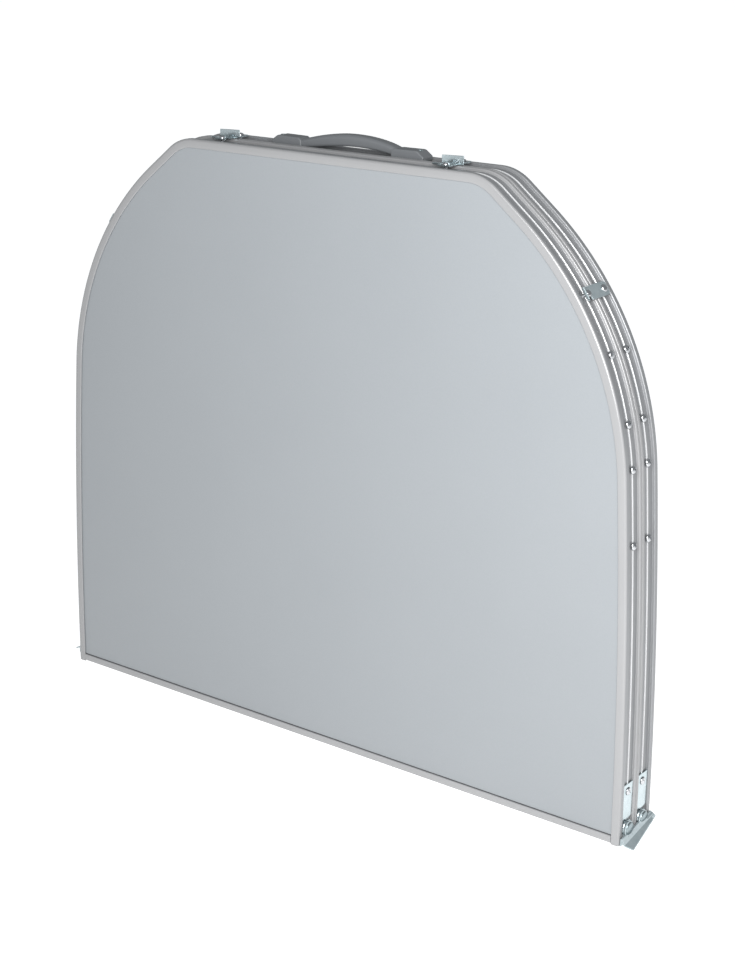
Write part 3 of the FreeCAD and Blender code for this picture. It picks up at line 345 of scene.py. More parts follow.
def rounded(points: list[tuple[float, float, float]], steps: int = 5) -> list[Point2]:
    """Closed outline with rounded corners.

    Args:
        points: corners as x, y and radius.
        steps: segments on each rounding.

    Returns:
        Points in order.
    """
    result: list[Point2] = []
    count = len(points)
    for i, (x, y, radius) in enumerate(points):
        corner = Vector((x, y))
        if radius <= 0:
            result.append((x, y))
            continue
        before = (Vector(points[i - 1][:2]) - corner).normalized()
        after = (Vector(points[(i + 1) % count][:2]) - corner).normalized()
        half_angle = math.acos(max(-1.0, min(1.0, before.dot(after)))) / 2
        reach = radius / math.tan(half_angle)
        centre = corner + (before + after).normalized() * (radius / math.sin(half_angle))
        start = corner + before * reach - centre
        end = corner + after * reach - centre
        sweep = start.angle_signed(end)
        for k in range(steps + 1):
            spoke = start.copy()
            spoke.rotate(Matrix.Rotation(-sweep * k / steps, 2))
            result.append((centre.x + spoke.x, centre.y + spoke.y))
    return result


def tube_faces(count: int, layers: int) -> list[list[int]]:
    """Faces of a closed tube with flat ends.

    Args:
        count: points in each ring.
        layers: number of stretches between rings.

    Returns:
        Vertex indices of the ends, then of the walls.
    """
    faces = [list(range(count))[::-1], list(range(layers * count, (layers + 1) * count))]
    for k in range(layers):
        for i in range(count):
            j = (i + 1) % count
            faces.append([k * count + i, k * count + j, (k + 1) * count + j, (k + 1) * count + i])
    return faces


def prism(outline: list[Point2], low: float, high: float, axes: str,
          place: Matrix | None = None) -> bpy.types.Mesh:
    """Straight solid from a closed outline.

    Args:
        outline: points in the two section axes, in millimetres.
        low: start along the run axis.
        high: end along the run axis.
        axes: section axes then run axis, such as "xzy".
        place: placement applied at the end, with millimetre offsets.

    Returns:
        A closed mesh in metres.
    """
    first, second, run = ("xyz".index(c) for c in axes)
    mesh = bpy.data.meshes.new("prism")
    verts: list[Vector] = []
    for level in (low, high):
        for a, b in outline:
            point = Vector((0.0, 0.0, 0.0))
            point[first], point[second], point[run] = a, b, level
            verts.append((place @ point if place else point) * MM)
    mesh.from_pydata(verts, [], tube_faces(len(outline), 1))
    return mesh


def lathe(profile: list[Point2], place: Matrix, steps: int = 32) -> bpy.types.Mesh:
    """Solid of revolution about local Z.

    Args:
        profile: radius and height pairs from axis to axis, in millimetres.
        place: placement with millimetre offsets.
        steps: facets round the axis.

    Returns:
        A closed mesh in metres.
    """
    mesh = bpy.data.meshes.new("lathe")
    verts: list[Vector] = []
    rings: list[list[int]] = []
    for radius, height in profile:
        ring: list[int] = []
        if radius < 1e-6:
            ring = [len(verts)] * steps
            verts.append((place @ Vector((0, 0, height))) * MM)
        else:
            for k in range(steps):
                angle = 2 * math.pi * k / steps
                ring.append(len(verts))
                verts.append((place @ Vector((radius * math.cos(angle), radius * math.sin(angle), height))) * MM)
        rings.append(ring)
    faces: list[list[int]] = []
    for lower, upper in zip(rings, rings[1:]):
        for k in range(steps):
            j = (k + 1) % steps
            corners: list[int] = []
            for index in (lower[k], lower[j], upper[j], upper[k]):
                if index not in corners:
                    corners.append(index)
            if len(corners) > 2:
                faces.append(corners)
    mesh.from_pydata(verts, [], faces)
    return mesh


def merged_mesh(name: str, meshes: list[bpy.types.Mesh]) -> bpy.types.Mesh:
    """Joins meshes into one.

    Args:
        name: name of the result.
        meshes: closed meshes to gather.

    Returns:
        One mesh with all of them as separate shells.
    """
    work = bmesh.new()
    for mesh in meshes:
        work.from_mesh(mesh)
    result = bpy.data.meshes.new(name)
    work.to_mesh(result)
    work.free()
    return result


def facing(point: Vector, direction: Vector, across: Vector | None = None) -> Matrix:
    """Placement with local Z along a direction and local X along a second one."""
    up = direction.normalized()
    if across is None:
        across = Vector((0, 1, 0)) if abs(up.y) < 0.9 else Vector((1, 0, 0))
    x_axis = (across - up * across.dot(up)).normalized()
    y_axis = up.cross(x_axis)
    matrix = Matrix((x_axis, y_axis, up)).transposed().to_4x4()
    matrix.translation = point
    return matrix


# ------------------------------------------------------------------ outline of a half
def arc(centre: Point2, radius: float, start: float, end: float, steps: int) -> list[Point2]:
    """Points on an arc.

    Args:
        centre: centre of the arc.
        radius: its radius.
        start: first angle above the horizontal.
        end: last angle.
        steps: number of stretches.

    Returns:
        Points with both ends.
    """
    turns = [start + (end - start) * k / steps for k in range(steps + 1)]
    return [(centre[0] + radius * math.cos(t), centre[1] + radius * math.sin(t)) for t in turns]


@dataclass(frozen=True)
class HalfOutline:
    """D-shaped outline of a half, in millimetres, as tangent arcs."""

    width: float = 800.0
    length: float = 690.0
    side_radius: float = 5425.0
    side_angle: float = math.radians(4.234)
    shoulder_radius: float = 356.0
    shoulder_angle: float = math.radians(51.5)
    corner_radius: float = 56.0

    def side_centre(self) -> Point2:
        """Centre of the long side arc."""
        return self.width / 2 - self.side_radius, 0.0

    def shoulder_centre(self) -> Point2:
        """Centre of the shoulder arc."""
        reach = self.side_radius - self.shoulder_radius
        x, z = self.side_centre()
        return x + reach * math.cos(self.side_angle), z + reach * math.sin(self.side_angle)

    def corner_centre(self) -> Point2:
        """Centre of the small arc where the flat end begins."""
        x, z = self.shoulder_centre()
        sin, cos = math.sin(self.shoulder_angle), math.cos(self.shoulder_angle)
        height = self.length - self.corner_radius
        rise = height + self.corner_radius * sin - (z + self.shoulder_radius * sin)
        edge_x = x + self.shoulder_radius * cos - rise * sin / cos
        return edge_x - self.corner_radius * cos, height

    def at_height(self, height: float, inset: float = 0.0) -> tuple[float, float, float]:
        """Right-hand point at a height, moved inwards by an inset.

        Args:
            height: height on the outline itself.
            inset: distance inwards along the normal.

        Returns:
            x, z and the outward angle above the horizontal.
        """
        join = self.side_radius * math.sin(self.side_angle)
        centre, radius = ((self.side_centre(), self.side_radius) if height <= join
                          else (self.shoulder_centre(), self.shoulder_radius))
        angle = math.asin((height - centre[1]) / radius)
        return (centre[0] + (radius - inset) * math.cos(angle),
                centre[1] + (radius - inset) * math.sin(angle), angle)

    def run(self, inset: float = 0.0, floor: float = 0.0) -> list[Point2]:
        """Points from the right bottom corner round to the left one.

        Args:
            inset: distance inside the outline.
            floor: height at which the ends stop.

        Returns:
            x and z pairs.
        """
        right: list[Point2] = []
        sx, sz = self.side_centre()
        start = math.asin(floor / (self.side_radius - inset))
        low_turns = [start + (0.0036 - start) * k / 10 for k in range(10)]
        turns = low_turns + [0.0036 + (self.side_angle - 0.0036) * k / 14 for k in range(14)]
        reach = self.side_radius - inset
        right += [(sx + reach * math.cos(t), sz + reach * math.sin(t)) for t in turns]
        right += arc(self.shoulder_centre(), self.shoulder_radius - inset, self.side_angle, self.shoulder_angle, 56)
        right += arc(self.corner_centre(), self.corner_radius - inset, self.shoulder_angle, math.pi / 2, 16)
        return right + [(-x, z) for x, z in reversed(right)]


OUTLINE = HalfOutline()


# ------------------------------------------------------------------ geometry node trees
def new_tree(name: str, inputs: dict[str, str]) -> tuple[bpy.types.NodeTree, dict[str, str]]:
    """Empty geometry tree with a geometry socket each way and named inputs.

    Args:
        name: name of the tree.
        inputs: input names with their socket kinds.

    Returns:
        The tree and the identifier of each named input.
    """
    tree = bpy.data.node_groups.new(name, "GeometryNodeTree")
    face = tree.interface
    face.new_socket("Geometry", in_out="INPUT", socket_type="NodeSocketGeometry")
    ids = {label: face.new_socket(label, in_out="INPUT", socket_type=f"NodeSocket{kind}").identifier
           for label, kind in inputs.items()}
    face.new_socket("Geometry", in_out="OUTPUT", socket_type="NodeSocketGeometry")
    return tree, ids


class SweepTree:
    """Geometry Nodes tree that runs a closed section along a flat path."""

    def __init__(self) -> None:
        """Builds the tree with its named inputs."""
        self.tree, self.ids = new_tree("Section along path", {"Section": "Object", "Finish": "Material"})
        sheet = NodeSheet(self.tree)
        source = sheet.add("NodeGroupInput")
        path = sheet.add("GeometryNodeMeshToCurve")
        sheet.wire(source, "Geometry", path, "Mesh")
        normal = sheet.add("GeometryNodeSetCurveNormal", {"Normal": (0.0, 1.0, 0.0)}, mode="FREE")
        sheet.wire(path, "Curve", normal, "Curve")
        keep_path = sheet.add("GeometryNodeCaptureAttribute", domain="POINT")
        keep_path.capture_items.new("FLOAT", "Run")
        along = sheet.add("GeometryNodeSplineParameter")
        sheet.wire(normal, "Curve", keep_path, "Geometry")
        sheet.wire(along, "Length", keep_path, "Run")
        info = sheet.add("GeometryNodeObjectInfo")
        sheet.wire(source, "Section", info, "Object")
        shape = sheet.add("GeometryNodeMeshToCurve")
        sheet.wire(info, "Geometry", shape, "Mesh")
        keep_shape = sheet.add("GeometryNodeCaptureAttribute", domain="POINT")
        keep_shape.capture_items.new("FLOAT", "Girth")
        sheet.wire(shape, "Curve", keep_shape, "Geometry")
        sheet.wire(along, "Length", keep_shape, "Girth")
        sweep = sheet.add("GeometryNodeCurveToMesh", {"Fill Caps": True})
        sheet.wire(keep_path, "Geometry", sweep, "Curve")
        sheet.wire(keep_shape, "Geometry", sweep, "Profile Curve")
        pair = sheet.add("ShaderNodeCombineXYZ")
        sheet.wire(keep_path, "Run", pair, "X")
        sheet.wire(keep_shape, "Girth", pair, "Y")
        store = sheet.add("GeometryNodeStoreNamedAttribute", {"Name": "UVMap"}, data_type="FLOAT2",
                          domain="CORNER")
        sheet.wire(sweep, "Mesh", store, "Geometry")
        sheet.wire(pair, "Vector", store, "Value")
        sheet.end(source, store, "Geometry")

    def run(self, path: list[Point2], section: list[Point2], material: bpy.types.Material) -> bpy.types.Mesh:
        """Sweeps a section and returns the plain mesh.

        Args:
            path: x and z pairs in millimetres.
            section: depth and inset pairs in millimetres.
            material: finish for the result.

        Returns:
            The evaluated mesh, in metres.
        """
        loop = bpy.data.meshes.new("section")
        count = len(section)
        loop.from_pydata([(y * MM, u * MM, 0.0) for y, u in section],
                         [(i, (i + 1) % count) for i in range(count)], [])
        line = bpy.data.meshes.new("path")
        line.from_pydata([(x * MM, 0.0, z * MM) for x, z in path],
                         [(i, i + 1) for i in range(len(path) - 1)], [])
        return run_tree(self.tree, linked("path", line), linked("section", loop), {
            self.ids["Section"]: None, self.ids["Finish"]: material})


class ScrewTree:
    """Geometry Nodes tree that sets a fastener on every marked point, square to the surface."""

    def __init__(self) -> None:
        """Builds the tree with its named inputs."""
        self.tree, self.ids = new_tree("Fasteners on points", {
            "Fastener": "Object", "Finish": "Material", "Turn seed": "Int"})
        sheet = NodeSheet(self.tree)
        source = sheet.add("NodeGroupInput")
        info = sheet.add("GeometryNodeObjectInfo", {"As Instance": True})
        sheet.wire(source, "Fastener", info, "Object")
        way = sheet.add("GeometryNodeInputNamedAttribute", {"Name": "facing"}, data_type="FLOAT_VECTOR")
        align = sheet.add("FunctionNodeAlignRotationToVector", axis="Z")
        sheet.wire(way, "Attribute", align, "Vector")
        turn = sheet.add("FunctionNodeRandomValue", data_type="FLOAT")
        turn.inputs["Max"].default_value = FULL_TURN
        sheet.wire(source, "Turn seed", turn, "Seed")
        spin = sheet.add("FunctionNodeAxisAngleToRotation", {"Axis": (0.0, 0.0, 1.0)})
        sheet.wire(turn, "Value", spin, "Angle")
        rotate = sheet.add("FunctionNodeRotateRotation", rotation_space="LOCAL")
        sheet.wire(align, "Rotation", rotate, "Rotation")
        sheet.wire(spin, "Rotation", rotate, "Rotate By")
        place = sheet.add("GeometryNodeInstanceOnPoints")
        sheet.wire(source, "Geometry", place, "Points")
        sheet.wire(info, "Geometry", place, "Instance")
        sheet.wire(rotate, "Rotation", place, "Rotation")
        sheet.end(source, place, "Instances")

    def run(self, spots: list[tuple[Vector, Vector]], fastener: bpy.types.Mesh,
            material: bpy.types.Material, seed: int) -> bpy.types.Mesh:
        """Places the fastener and returns the plain mesh.

        Args:
            spots: seat points in millimetres with outward directions.
            fastener: mesh of one fastener, seated on local Z = 0, in metres.
            material: finish for the result.
            seed: fixed seed for the turn of each head.

        Returns:
            The evaluated mesh, in metres.
        """
        points = bpy.data.meshes.new("spots")
        points.from_pydata([point * MM for point, _ in spots], [], [])
        layer = points.attributes.new("facing", "FLOAT_VECTOR", "POINT")
        for entry, (_, direction) in zip(layer.data, spots):
            entry.vector = direction
        return run_tree(self.tree, linked("spots", points), linked("fastener", fastener), {
            self.ids["Fastener"]: None, self.ids["Finish"]: material, self.ids["Turn seed"]: seed})


def run_tree(tree: bpy.types.NodeTree, carrier: bpy.types.Object, helper: bpy.types.Object,
             values: dict[str, object]) -> bpy.types.Mesh:
    """Runs a geometry tree on a carrier.

    Args:
        tree: the tree.
        carrier: object that holds the path or the points.
        helper: object that the tree reads; it fills the input whose value is None.
        values: inputs by socket identifier.

    Returns:
        The evaluated mesh.
    """
    modifier = carrier.modifiers.new("shape", "NODES")
    modifier.node_group = tree
    for socket, value in values.items():
        modifier[socket] = helper if value is None else value
    return take_result(carrier, [helper])


def take_result(carrier: bpy.types.Object, helpers: list[bpy.types.Object]) -> bpy.types.Mesh:
    """Evaluates a carrier's modifiers into a plain mesh and clears the helpers away.

    Args:
        carrier: object whose modifier makes the shape.
        helpers: other objects that the tree read.

    Returns:
        The finished mesh.
    """
    graph = bpy.context.evaluated_depsgraph_get()
    mesh = bpy.data.meshes.new_from_object(carrier.evaluated_get(graph), depsgraph=graph)
    for item in (carrier, *helpers):
        bpy.data.objects.remove(item)
    return mesh


# ------------------------------------------------------------------ case halves
@dataclass
class CaseHalf:
    """Panel, edge profile and hinge rail of one half."""

    half: Half
    finishes: Finishes
    sweep: SweepTree
    lip_width: float = 10.0
    lip_face: float = 1.8
    lip_depth: float = 7.4
    panel_back: float = 6.4
    flange_back: float = 8.0
    web_inner: float = 5.0
    bead_start: float = 28.4
    bead_width: float = 7.0
    ridge_top: float = 2.2
    panel_inset: float = 2.3
    panel_thickness: float = 4.6
    rail_reach: float = 389.9
    # Half length of the black strip that paints the shadow line under the lip.
    gasket_reach: float = 389.6
    blend_height: float = 18.0

    def edge_section(self) -> list[Point2]:
        """Section of the bent edge profile as depth and inset pairs, outer lip first."""
        d, ridge = HALF_DEPTH, RIDGE_DEPTH
        corners = [(0, 0, 2.6), (0, self.lip_width, 0.9), (self.lip_face, self.lip_width, 0.3),
                   (self.lip_face, 2.0, 0), (self.panel_back, 2.0, 0), (self.panel_back, self.lip_width, 0),
                   (self.flange_back, self.lip_width, 0.3), (self.flange_back, self.web_inner, 0.4),
                   (27.6, self.web_inner, 0.4), (27.6, self.bead_width, 0.3), (d, self.bead_width, 0.3),
                   (d, 0, 1.5), (self.bead_start, 0, 1.5), (self.bead_start, CHANNEL_DEPTH, 0.5),
                   (ridge + 0.75, CHANNEL_DEPTH, 0.2), (ridge + 0.4, self.ridge_top, 0.3),
                   (ridge - 0.4, self.ridge_top, 0.3), (ridge - 0.75, CHANNEL_DEPTH, 0.2),
                   (self.lip_depth, CHANNEL_DEPTH, 0.5), (self.lip_depth, 0, 1.3)]
        return [(depth - HALF_THICKNESS, inset) for depth, inset in rounded(corners)]

    def relief(self, depth: float) -> float:
        """Height at which the profile's end is cut so that the inner corner rolls about the pivot."""
        past = depth - RIDGE_DEPTH
        if past <= 0:
            return 0.0
        return PIVOT_HEIGHT - math.sqrt(max(0.0, PIVOT_HEIGHT ** 2 - past ** 2))

    def build_edge(self) -> None:
        """Sweeps the edge profile and rounds its ends."""
        mesh = self.sweep.run(OUTLINE.run(), self.edge_section(), self.finishes.aluminium)
        for vertex in mesh.vertices:
            height = vertex.co.z / MM
            if height >= self.blend_height:
                continue
            cut = self.relief(vertex.co.y / MM + HALF_THICKNESS)
            vertex.co.z = (cut + max(height, 0.0) / self.blend_height * (self.blend_height - cut)) * MM
        mesh.transform(self.half.turn)
        item = new_piece(f"{self.half.value} edge profile", mesh, self.finishes.aluminium, 28)
        self.dress_faces(item, self.half.turn.inverted())
        register(item, self.half.body, "anodised_aluminium", f"{self.half.value}_edge_profile")

    def dress_faces(self, item: bpy.types.Object, back: Matrix) -> None:
        """Gives the lip, the channels and the raised lines their own brightness; the raised lines wear a much lighter
        copy of the aluminium as a painted highlight.

        Args:
            item: profile with the lip finish in its first slot.
            back: turn that brings the piece back to the front half's frame.
        """
        item.data.materials.append(self.finishes.channel)
        item.data.materials.append(self.finishes.ridge)
        for polygon in item.data.polygons:
            depth = (back @ polygon.center).y / MM + HALF_THICKNESS
            facing_front = (back.to_3x3() @ polygon.normal).y < -0.45
            on_ridge = abs(depth - RIDGE_DEPTH) < 0.8
            if (facing_front and depth < 3.0) or depth > self.bead_start - 0.1:
                polygon.material_index = 0
            elif on_ridge:
                # The raised line takes the lighter copy: painted highlight.
                polygon.material_index = 2
            else:
                polygon.material_index = 1

    def build_painted_shadow_strip(self) -> None:
        """Thin black strip along the hinge edge between the panel and the rail's lip, put there as a painted shadow
        line.
        """
        low = self.lip_face - HALF_THICKNESS
        strip = rounded([(low + 0.3, self.lip_width - 1.0, 0), (low + 0.3, self.lip_width + 0.7, 0.2),
                         (low - 0.35, self.lip_width + 0.55, 0.3), (low - 0.35, self.lip_width - 1.0, 0)], 3)
        mesh = prism(strip, -self.gasket_reach, self.gasket_reach, "yzx", self.half.turn)
        item = new_piece(f"{self.half.value} panel gasket", mesh, self.finishes.black_plastic)
        register(item, self.half.body, "black_plastic")

    def build_rail(self) -> None:
        """Straight profile along the hinge edge, its inner corner rolled round the pivot."""
        wall, d = 1.8, HALF_DEPTH
        corners = rounded([(0, 0, 2.6), (0, self.lip_width, 0.9), (self.lip_face, self.lip_width, 0.3),
                           (self.lip_face, 2.0, 0), (self.panel_back, 2.0, 0),
                           (self.panel_back, self.lip_width, 0), (self.flange_back, self.lip_width, 0),
                           (self.flange_back, wall, 0)])
        inner = [(RIDGE_DEPTH + (PIVOT_HEIGHT - wall) * math.sin(t), PIVOT_HEIGHT - (PIVOT_HEIGHT - wall) * math.cos(t))
                 for t in (math.pi / 2 * k / 12 for k in range(13))]
        outer = [(RIDGE_DEPTH + PIVOT_HEIGHT * math.sin(t), PIVOT_HEIGHT - PIVOT_HEIGHT * math.cos(t))
                 for t in (math.pi / 2 * k / 14 for k in range(14, -1, -1))]
        section = [(y - HALF_THICKNESS, z) for y, z in corners + inner + [(d - wall, 22.0), (d, 22.0)] + outer]
        mesh = prism(section, -self.rail_reach, self.rail_reach, "yzx", self.half.turn)
        self.lay_uv(mesh)
        item = new_piece(f"{self.half.value} hinge rail", mesh, self.finishes.aluminium, 28)
        self.dress_faces(item, self.half.turn.inverted())
        register(item, self.half.body, "anodised_aluminium", f"{self.half.value}_hinge_profile")

    def lay_uv(self, mesh: bpy.types.Mesh) -> None:
        """Lays a map that runs along X so that the grain follows the rail."""
        layer = mesh.uv_layers.new(name="UVMap")
        for polygon in mesh.polygons:
            for loop in polygon.loop_indices:
                spot = mesh.vertices[mesh.loops[loop].vertex_index].co
                layer.data[loop].uv = (spot.x, spot.y + spot.z)

    def build_panel(self) -> None:
        """Laminate panel held in the slots of both profiles."""
        outline = OUTLINE.run(self.panel_inset, self.panel_inset)
        low = self.lip_face - HALF_THICKNESS
        mesh = prism(outline, low, low + self.panel_thickness, "xzy", self.half.turn)
        item = new_piece(f"{self.half.value} panel", mesh, self.finishes.laminate)
        register(item, self.half.body, "panel_laminate", f"{self.half.value}_panel")

    def build(self) -> None:
        """Builds the half's three main pieces."""
        self.build_panel()
        self.build_painted_shadow_strip()
        self.build_edge()
        self.build_rail()


# ------------------------------------------------------------------ fasteners
@dataclass
class FastenerSet:
    """Domed screws along the edges and on the hinge plates."""

    finishes: Finishes
    tree: ScrewTree
    head_radius: float = 4.5
    head_height: float = 2.9
    frame_heights: tuple[float, ...] = (525.0, 457.0, 411.0, 331.0)
    plate_height: float = 58.0
    frame_seat: float = 2.1
    plate_seat: float = 1.35
    slotted_height: float = 1.8
    shank: float = 1.6
    depth: float = 9.0

    def dome(self, radius: float, height: float) -> bpy.types.Mesh:
        """Domed head with a small driven recess and a shank below.

        Args:
            radius: head radius.
            height: head height.

        Returns:
            Mesh seated on local Z = 0, in metres.
        """
        profile: list[Point2] = [(0, -self.depth), (self.shank, -self.depth), (self.shank, 0), (radius - 0.15, 0),
                                 (radius, 0.2)]
        for k in range(1, 8):
            turn = math.pi / 2 * k / 9
            profile.append((radius * math.cos(turn), 0.2 + (height - 0.2) * math.sin(turn)))
        profile += [(radius * 0.3, height * 0.98), (radius * 0.24, height * 0.55), (0, height * 0.5)]
        mesh = lathe(profile, Matrix.Identity(4), 20)
        tidy_mesh(mesh, 40)
        return mesh

    def slotted(self, radius: float, height: float) -> bpy.types.Mesh:
        """Domed head with a straight slot cut across it.

        Args:
            radius: head radius.
            height: head height.

        Returns:
            Mesh seated on local Z = 0, in metres.
        """
        head = linked("head", self.dome(radius, height))
        blade = prism([(-radius - 1, -0.45), (radius + 1, -0.45), (radius + 1, 0.45), (-radius - 1, 0.45)],
                      height * 0.45, height + 1.0, "xyz")
        tidy_mesh(blade)
        cutter = linked("blade", blade)
        modifier = head.modifiers.new("slot", "BOOLEAN")
        modifier.operation = "DIFFERENCE"
        modifier.solver = "EXACT"
        modifier.object = cutter
        return take_result(head, [cutter])

    def edge_spots(self, half: Half, heights: tuple[float, ...], inset: float) -> list[tuple[Vector, Vector]]:
        """Seats on both edges of a half.

        Args:
            half: which half.
            heights: heights on the outline.
            inset: seat depth inside the outline.

        Returns:
            Points in millimetres and outward directions.
        """
        spots = []
        for side in Side:
            for height in heights:
                x, z, angle = OUTLINE.at_height(height, inset)
                point = Vector((side.value * x, RIDGE_DEPTH - HALF_THICKNESS, z))
                way = Vector((side.value * math.cos(angle), 0, math.sin(angle)))
                spots.append((half.turn @ point, half.turn.to_3x3() @ way))
        return spots

    def build(self) -> None:
        """Builds every fastener group."""
        steel = self.finishes.steel
        for seed, half in enumerate(Half, start=1):
            spots = self.edge_spots(half, self.frame_heights, self.frame_seat)
            mesh = self.tree.run(spots, self.dome(self.head_radius, self.head_height), steel, seed)
            item = new_piece(f"{half.value} frame screws", mesh, steel, 40)
            register(item, half.body, "bright_screw", f"{half.value}_frame_screws")
            spots = self.edge_spots(half, (self.plate_height,), self.plate_seat)
            mesh = self.tree.run(spots, self.slotted(self.head_radius, self.slotted_height), steel, 10 + seed)
            item = new_piece(f"{half.value} hinge plate screws", mesh, steel, 40)
            register(item, half.body, "bright_screw", f"{half.value}_hinge_screws")


# ------------------------------------------------------------------ hinge
@dataclass
class HingeFittings:
    """Plates and bushes on the halves, and the link bars and pins between them."""

    finishes: Finishes
    seat: float = 396.65
    plate_thickness: float = 1.5
    plate_low: float = 26.0
    plate_high: float = 67.0
    plate_front: float = -25.7
    plate_rear: float = -5.5
    bar_steps: int = 10
    link_x: float = 400.5
    link_thickness: float = 1.6
    link_low: float = 0.8
    link_height: float = 8.0
    link_rise: float = 8.0
    ear: float = 8.5
    flange_wide: float = 16.5
    flange_narrow: float = 8.1
    reach: float = 31.0

    def build_plates(self, half: Half) -> None:
        """Pressed plates with a rounded lower edge."""
        shells = []
        low_y, high_y = self.plate_front, self.plate_rear
        middle = (low_y + high_y) / 2
        for side in Side:
            shape = rounded([(low_y, self.plate_low + 1.0, 2.5), (middle, self.plate_low - 1.2, 24.0),
                             (high_y, self.plate_low + 1.0, 2.5), (high_y, self.plate_high, 0.8),
                             (low_y, self.plate_high, 0.8)], 6)
            x0 = self.seat if side is Side.RIGHT else -self.seat - self.plate_thickness
            shells.append(prism(shape, x0, x0 + self.plate_thickness, "yzx", half.turn))
        item = new_piece(f"{half.value} hinge plates", merged_mesh("plates", shells), self.finishes.zinc)
        bevelled(item, 0.35)
        register(item, half.body, "zinc_steel", f"{half.value}_hinge_plates")

    def build_bushes(self, half: Half) -> None:
        """Rounded knuckles that carry the pivot pins."""
        shells = []
        for side in Side:
            place = half.turn @ facing(Vector((side.value * self.seat, -PIVOT_Y, PIVOT_HEIGHT)),
                                       Vector((side.value, 0, 0)))
            shells.append(lathe([(4.1, 0), (9.5, 0), (9.5, 2.5), (9.2, 3.1), (8.6, 3.45), (4.6, 3.45), (4.1, 3.2),
                                 (4.1, 0)], place, 48))
        item = new_piece(f"{half.value} hinge knuckles", merged_mesh("bushes", shells), self.finishes.zinc)
        register(item, half.body, "zinc_steel", f"{half.value}_hinge_bushes")

    def link_strip(self, run: float) -> list[Point2]:
        """Section of the bent link strip at a place along the bar.

        Args:
            run: 0 at the wide end, 1 at the narrow end.

        Returns:
            x and z pairs round the section, starting at the web's foot.
        """
        base = self.link_low + self.link_rise * run
        edge = self.link_x + self.flange_wide + (self.flange_narrow - self.flange_wide) * run
        drop = 0.6 - 3.8 * run
        x, top = self.link_x, base + self.link_height
        return [(x, base), (x, top - 0.4), (x + 0.4, top), (x + 2.2, top), (x + 2.7, top - 0.4),
                (x + 5.0, base - drop + 3.4), (x + 5.7, base - drop + 2.8), (x + 6.4, base - drop + 2.7),
                (edge - 0.5, base - drop + 1.4), (edge, base - drop + 1.0), (edge, base - drop + 0.3),
                (edge - 0.5, base - drop), (x + 6.0, base - drop + 1.2), (x + 4.6, base - drop + 1.6),
                (x + 3.0, base - drop + 4.0), (x + 1.6, base + 5.0), (x + 1.6, base)]

    def build_links(self) -> None:
        """Folded link bars that climb from the front pivot to the rear one, with round ears."""
        shells = []
        steps = self.bar_steps
        for side in Side:
            flip = Matrix.Identity(4) if side is Side.RIGHT else HALF_TURN
            mesh = bpy.data.meshes.new("strip")
            verts = []
            for k in range(steps + 1):
                run = k / steps
                y = -self.reach + 2 * self.reach * run
                verts += [(flip @ Vector((x, y, z))) * MM for x, z in self.link_strip(run)]
            mesh.from_pydata(verts, [], tube_faces(len(verts) // (steps + 1), steps))
            shells.append(mesh)
            for y in (-PIVOT_Y, PIVOT_Y):
                ear = [(0, 0), (self.ear, 0), (self.ear, 1.1), (self.ear - 0.4, self.link_thickness),
                       (0, self.link_thickness)]
                place = facing(Vector((side.value * self.link_x, y, PIVOT_HEIGHT)), Vector((side.value, 0, 0)))
                shells.append(lathe(ear, place, 48))
        item = new_piece("hinge link bars", merged_mesh("links", shells), self.finishes.worn_zinc, 24)
        # Faces turned to ±X take the lighter zinc as painted light; the rest keep the darker zinc as painted shade.
        item.data.materials.append(self.finishes.pale_zinc)
        for polygon in item.data.polygons:
            if abs(polygon.normal.x) > 0.6:
                polygon.material_index = 1
        register(item, "hinge_links", "zinc_steel", "hinge_link_bars")

    def build_pins(self) -> None:
        """Pivot pins with broad, low domed heads."""
        shells = []
        for side in Side:
            for y in (-PIVOT_Y, PIVOT_Y):
                place = facing(Vector((side.value * 391.0, y, PIVOT_HEIGHT)), Vector((side.value, 0, 0)))
                outer = self.link_x + self.link_thickness - 391.0
                dome = [(7.6 * math.cos(t), outer + 0.4 + 1.9 * math.sin(t))
                        for t in (math.pi / 2 * k / 8 for k in range(9))]
                shells.append(lathe([(0, 0), (3.6, 0), (4.0, 0.4), (4.0, outer), (7.6, outer)] + dome[:-1]
                                    + [(0, outer + 2.3)], place, 40))
        item = new_piece("hinge pins", merged_mesh("pins", shells), self.finishes.dark_zinc, 40)
        register(item, "hinge_links", "bright_screw", "hinge_pins")

    def build(self) -> None:
        """Builds the whole hinge."""
        for half in Half:
            self.build_plates(half)
            self.build_bushes(half)
        self.build_links()
        self.build_pins()


# ------------------------------------------------------------------ latches
class LatchKind(Enum):
    """The two patterns of turning latch."""

    SIDE = "side"
    TOP = "top"


@dataclass(frozen=True)
class LatchSpot:
    """Where one latch sits and which way its nose swings free."""

    name: str
    kind: LatchKind
    pivot: Vector
    outward: Vector
    slot_side: int

    @property
    def place(self) -> Matrix:
        """Placement with local X from rivet to nose and local Z away from the case."""
        return facing(self.pivot, self.outward, Vector((0, -1, 0)))


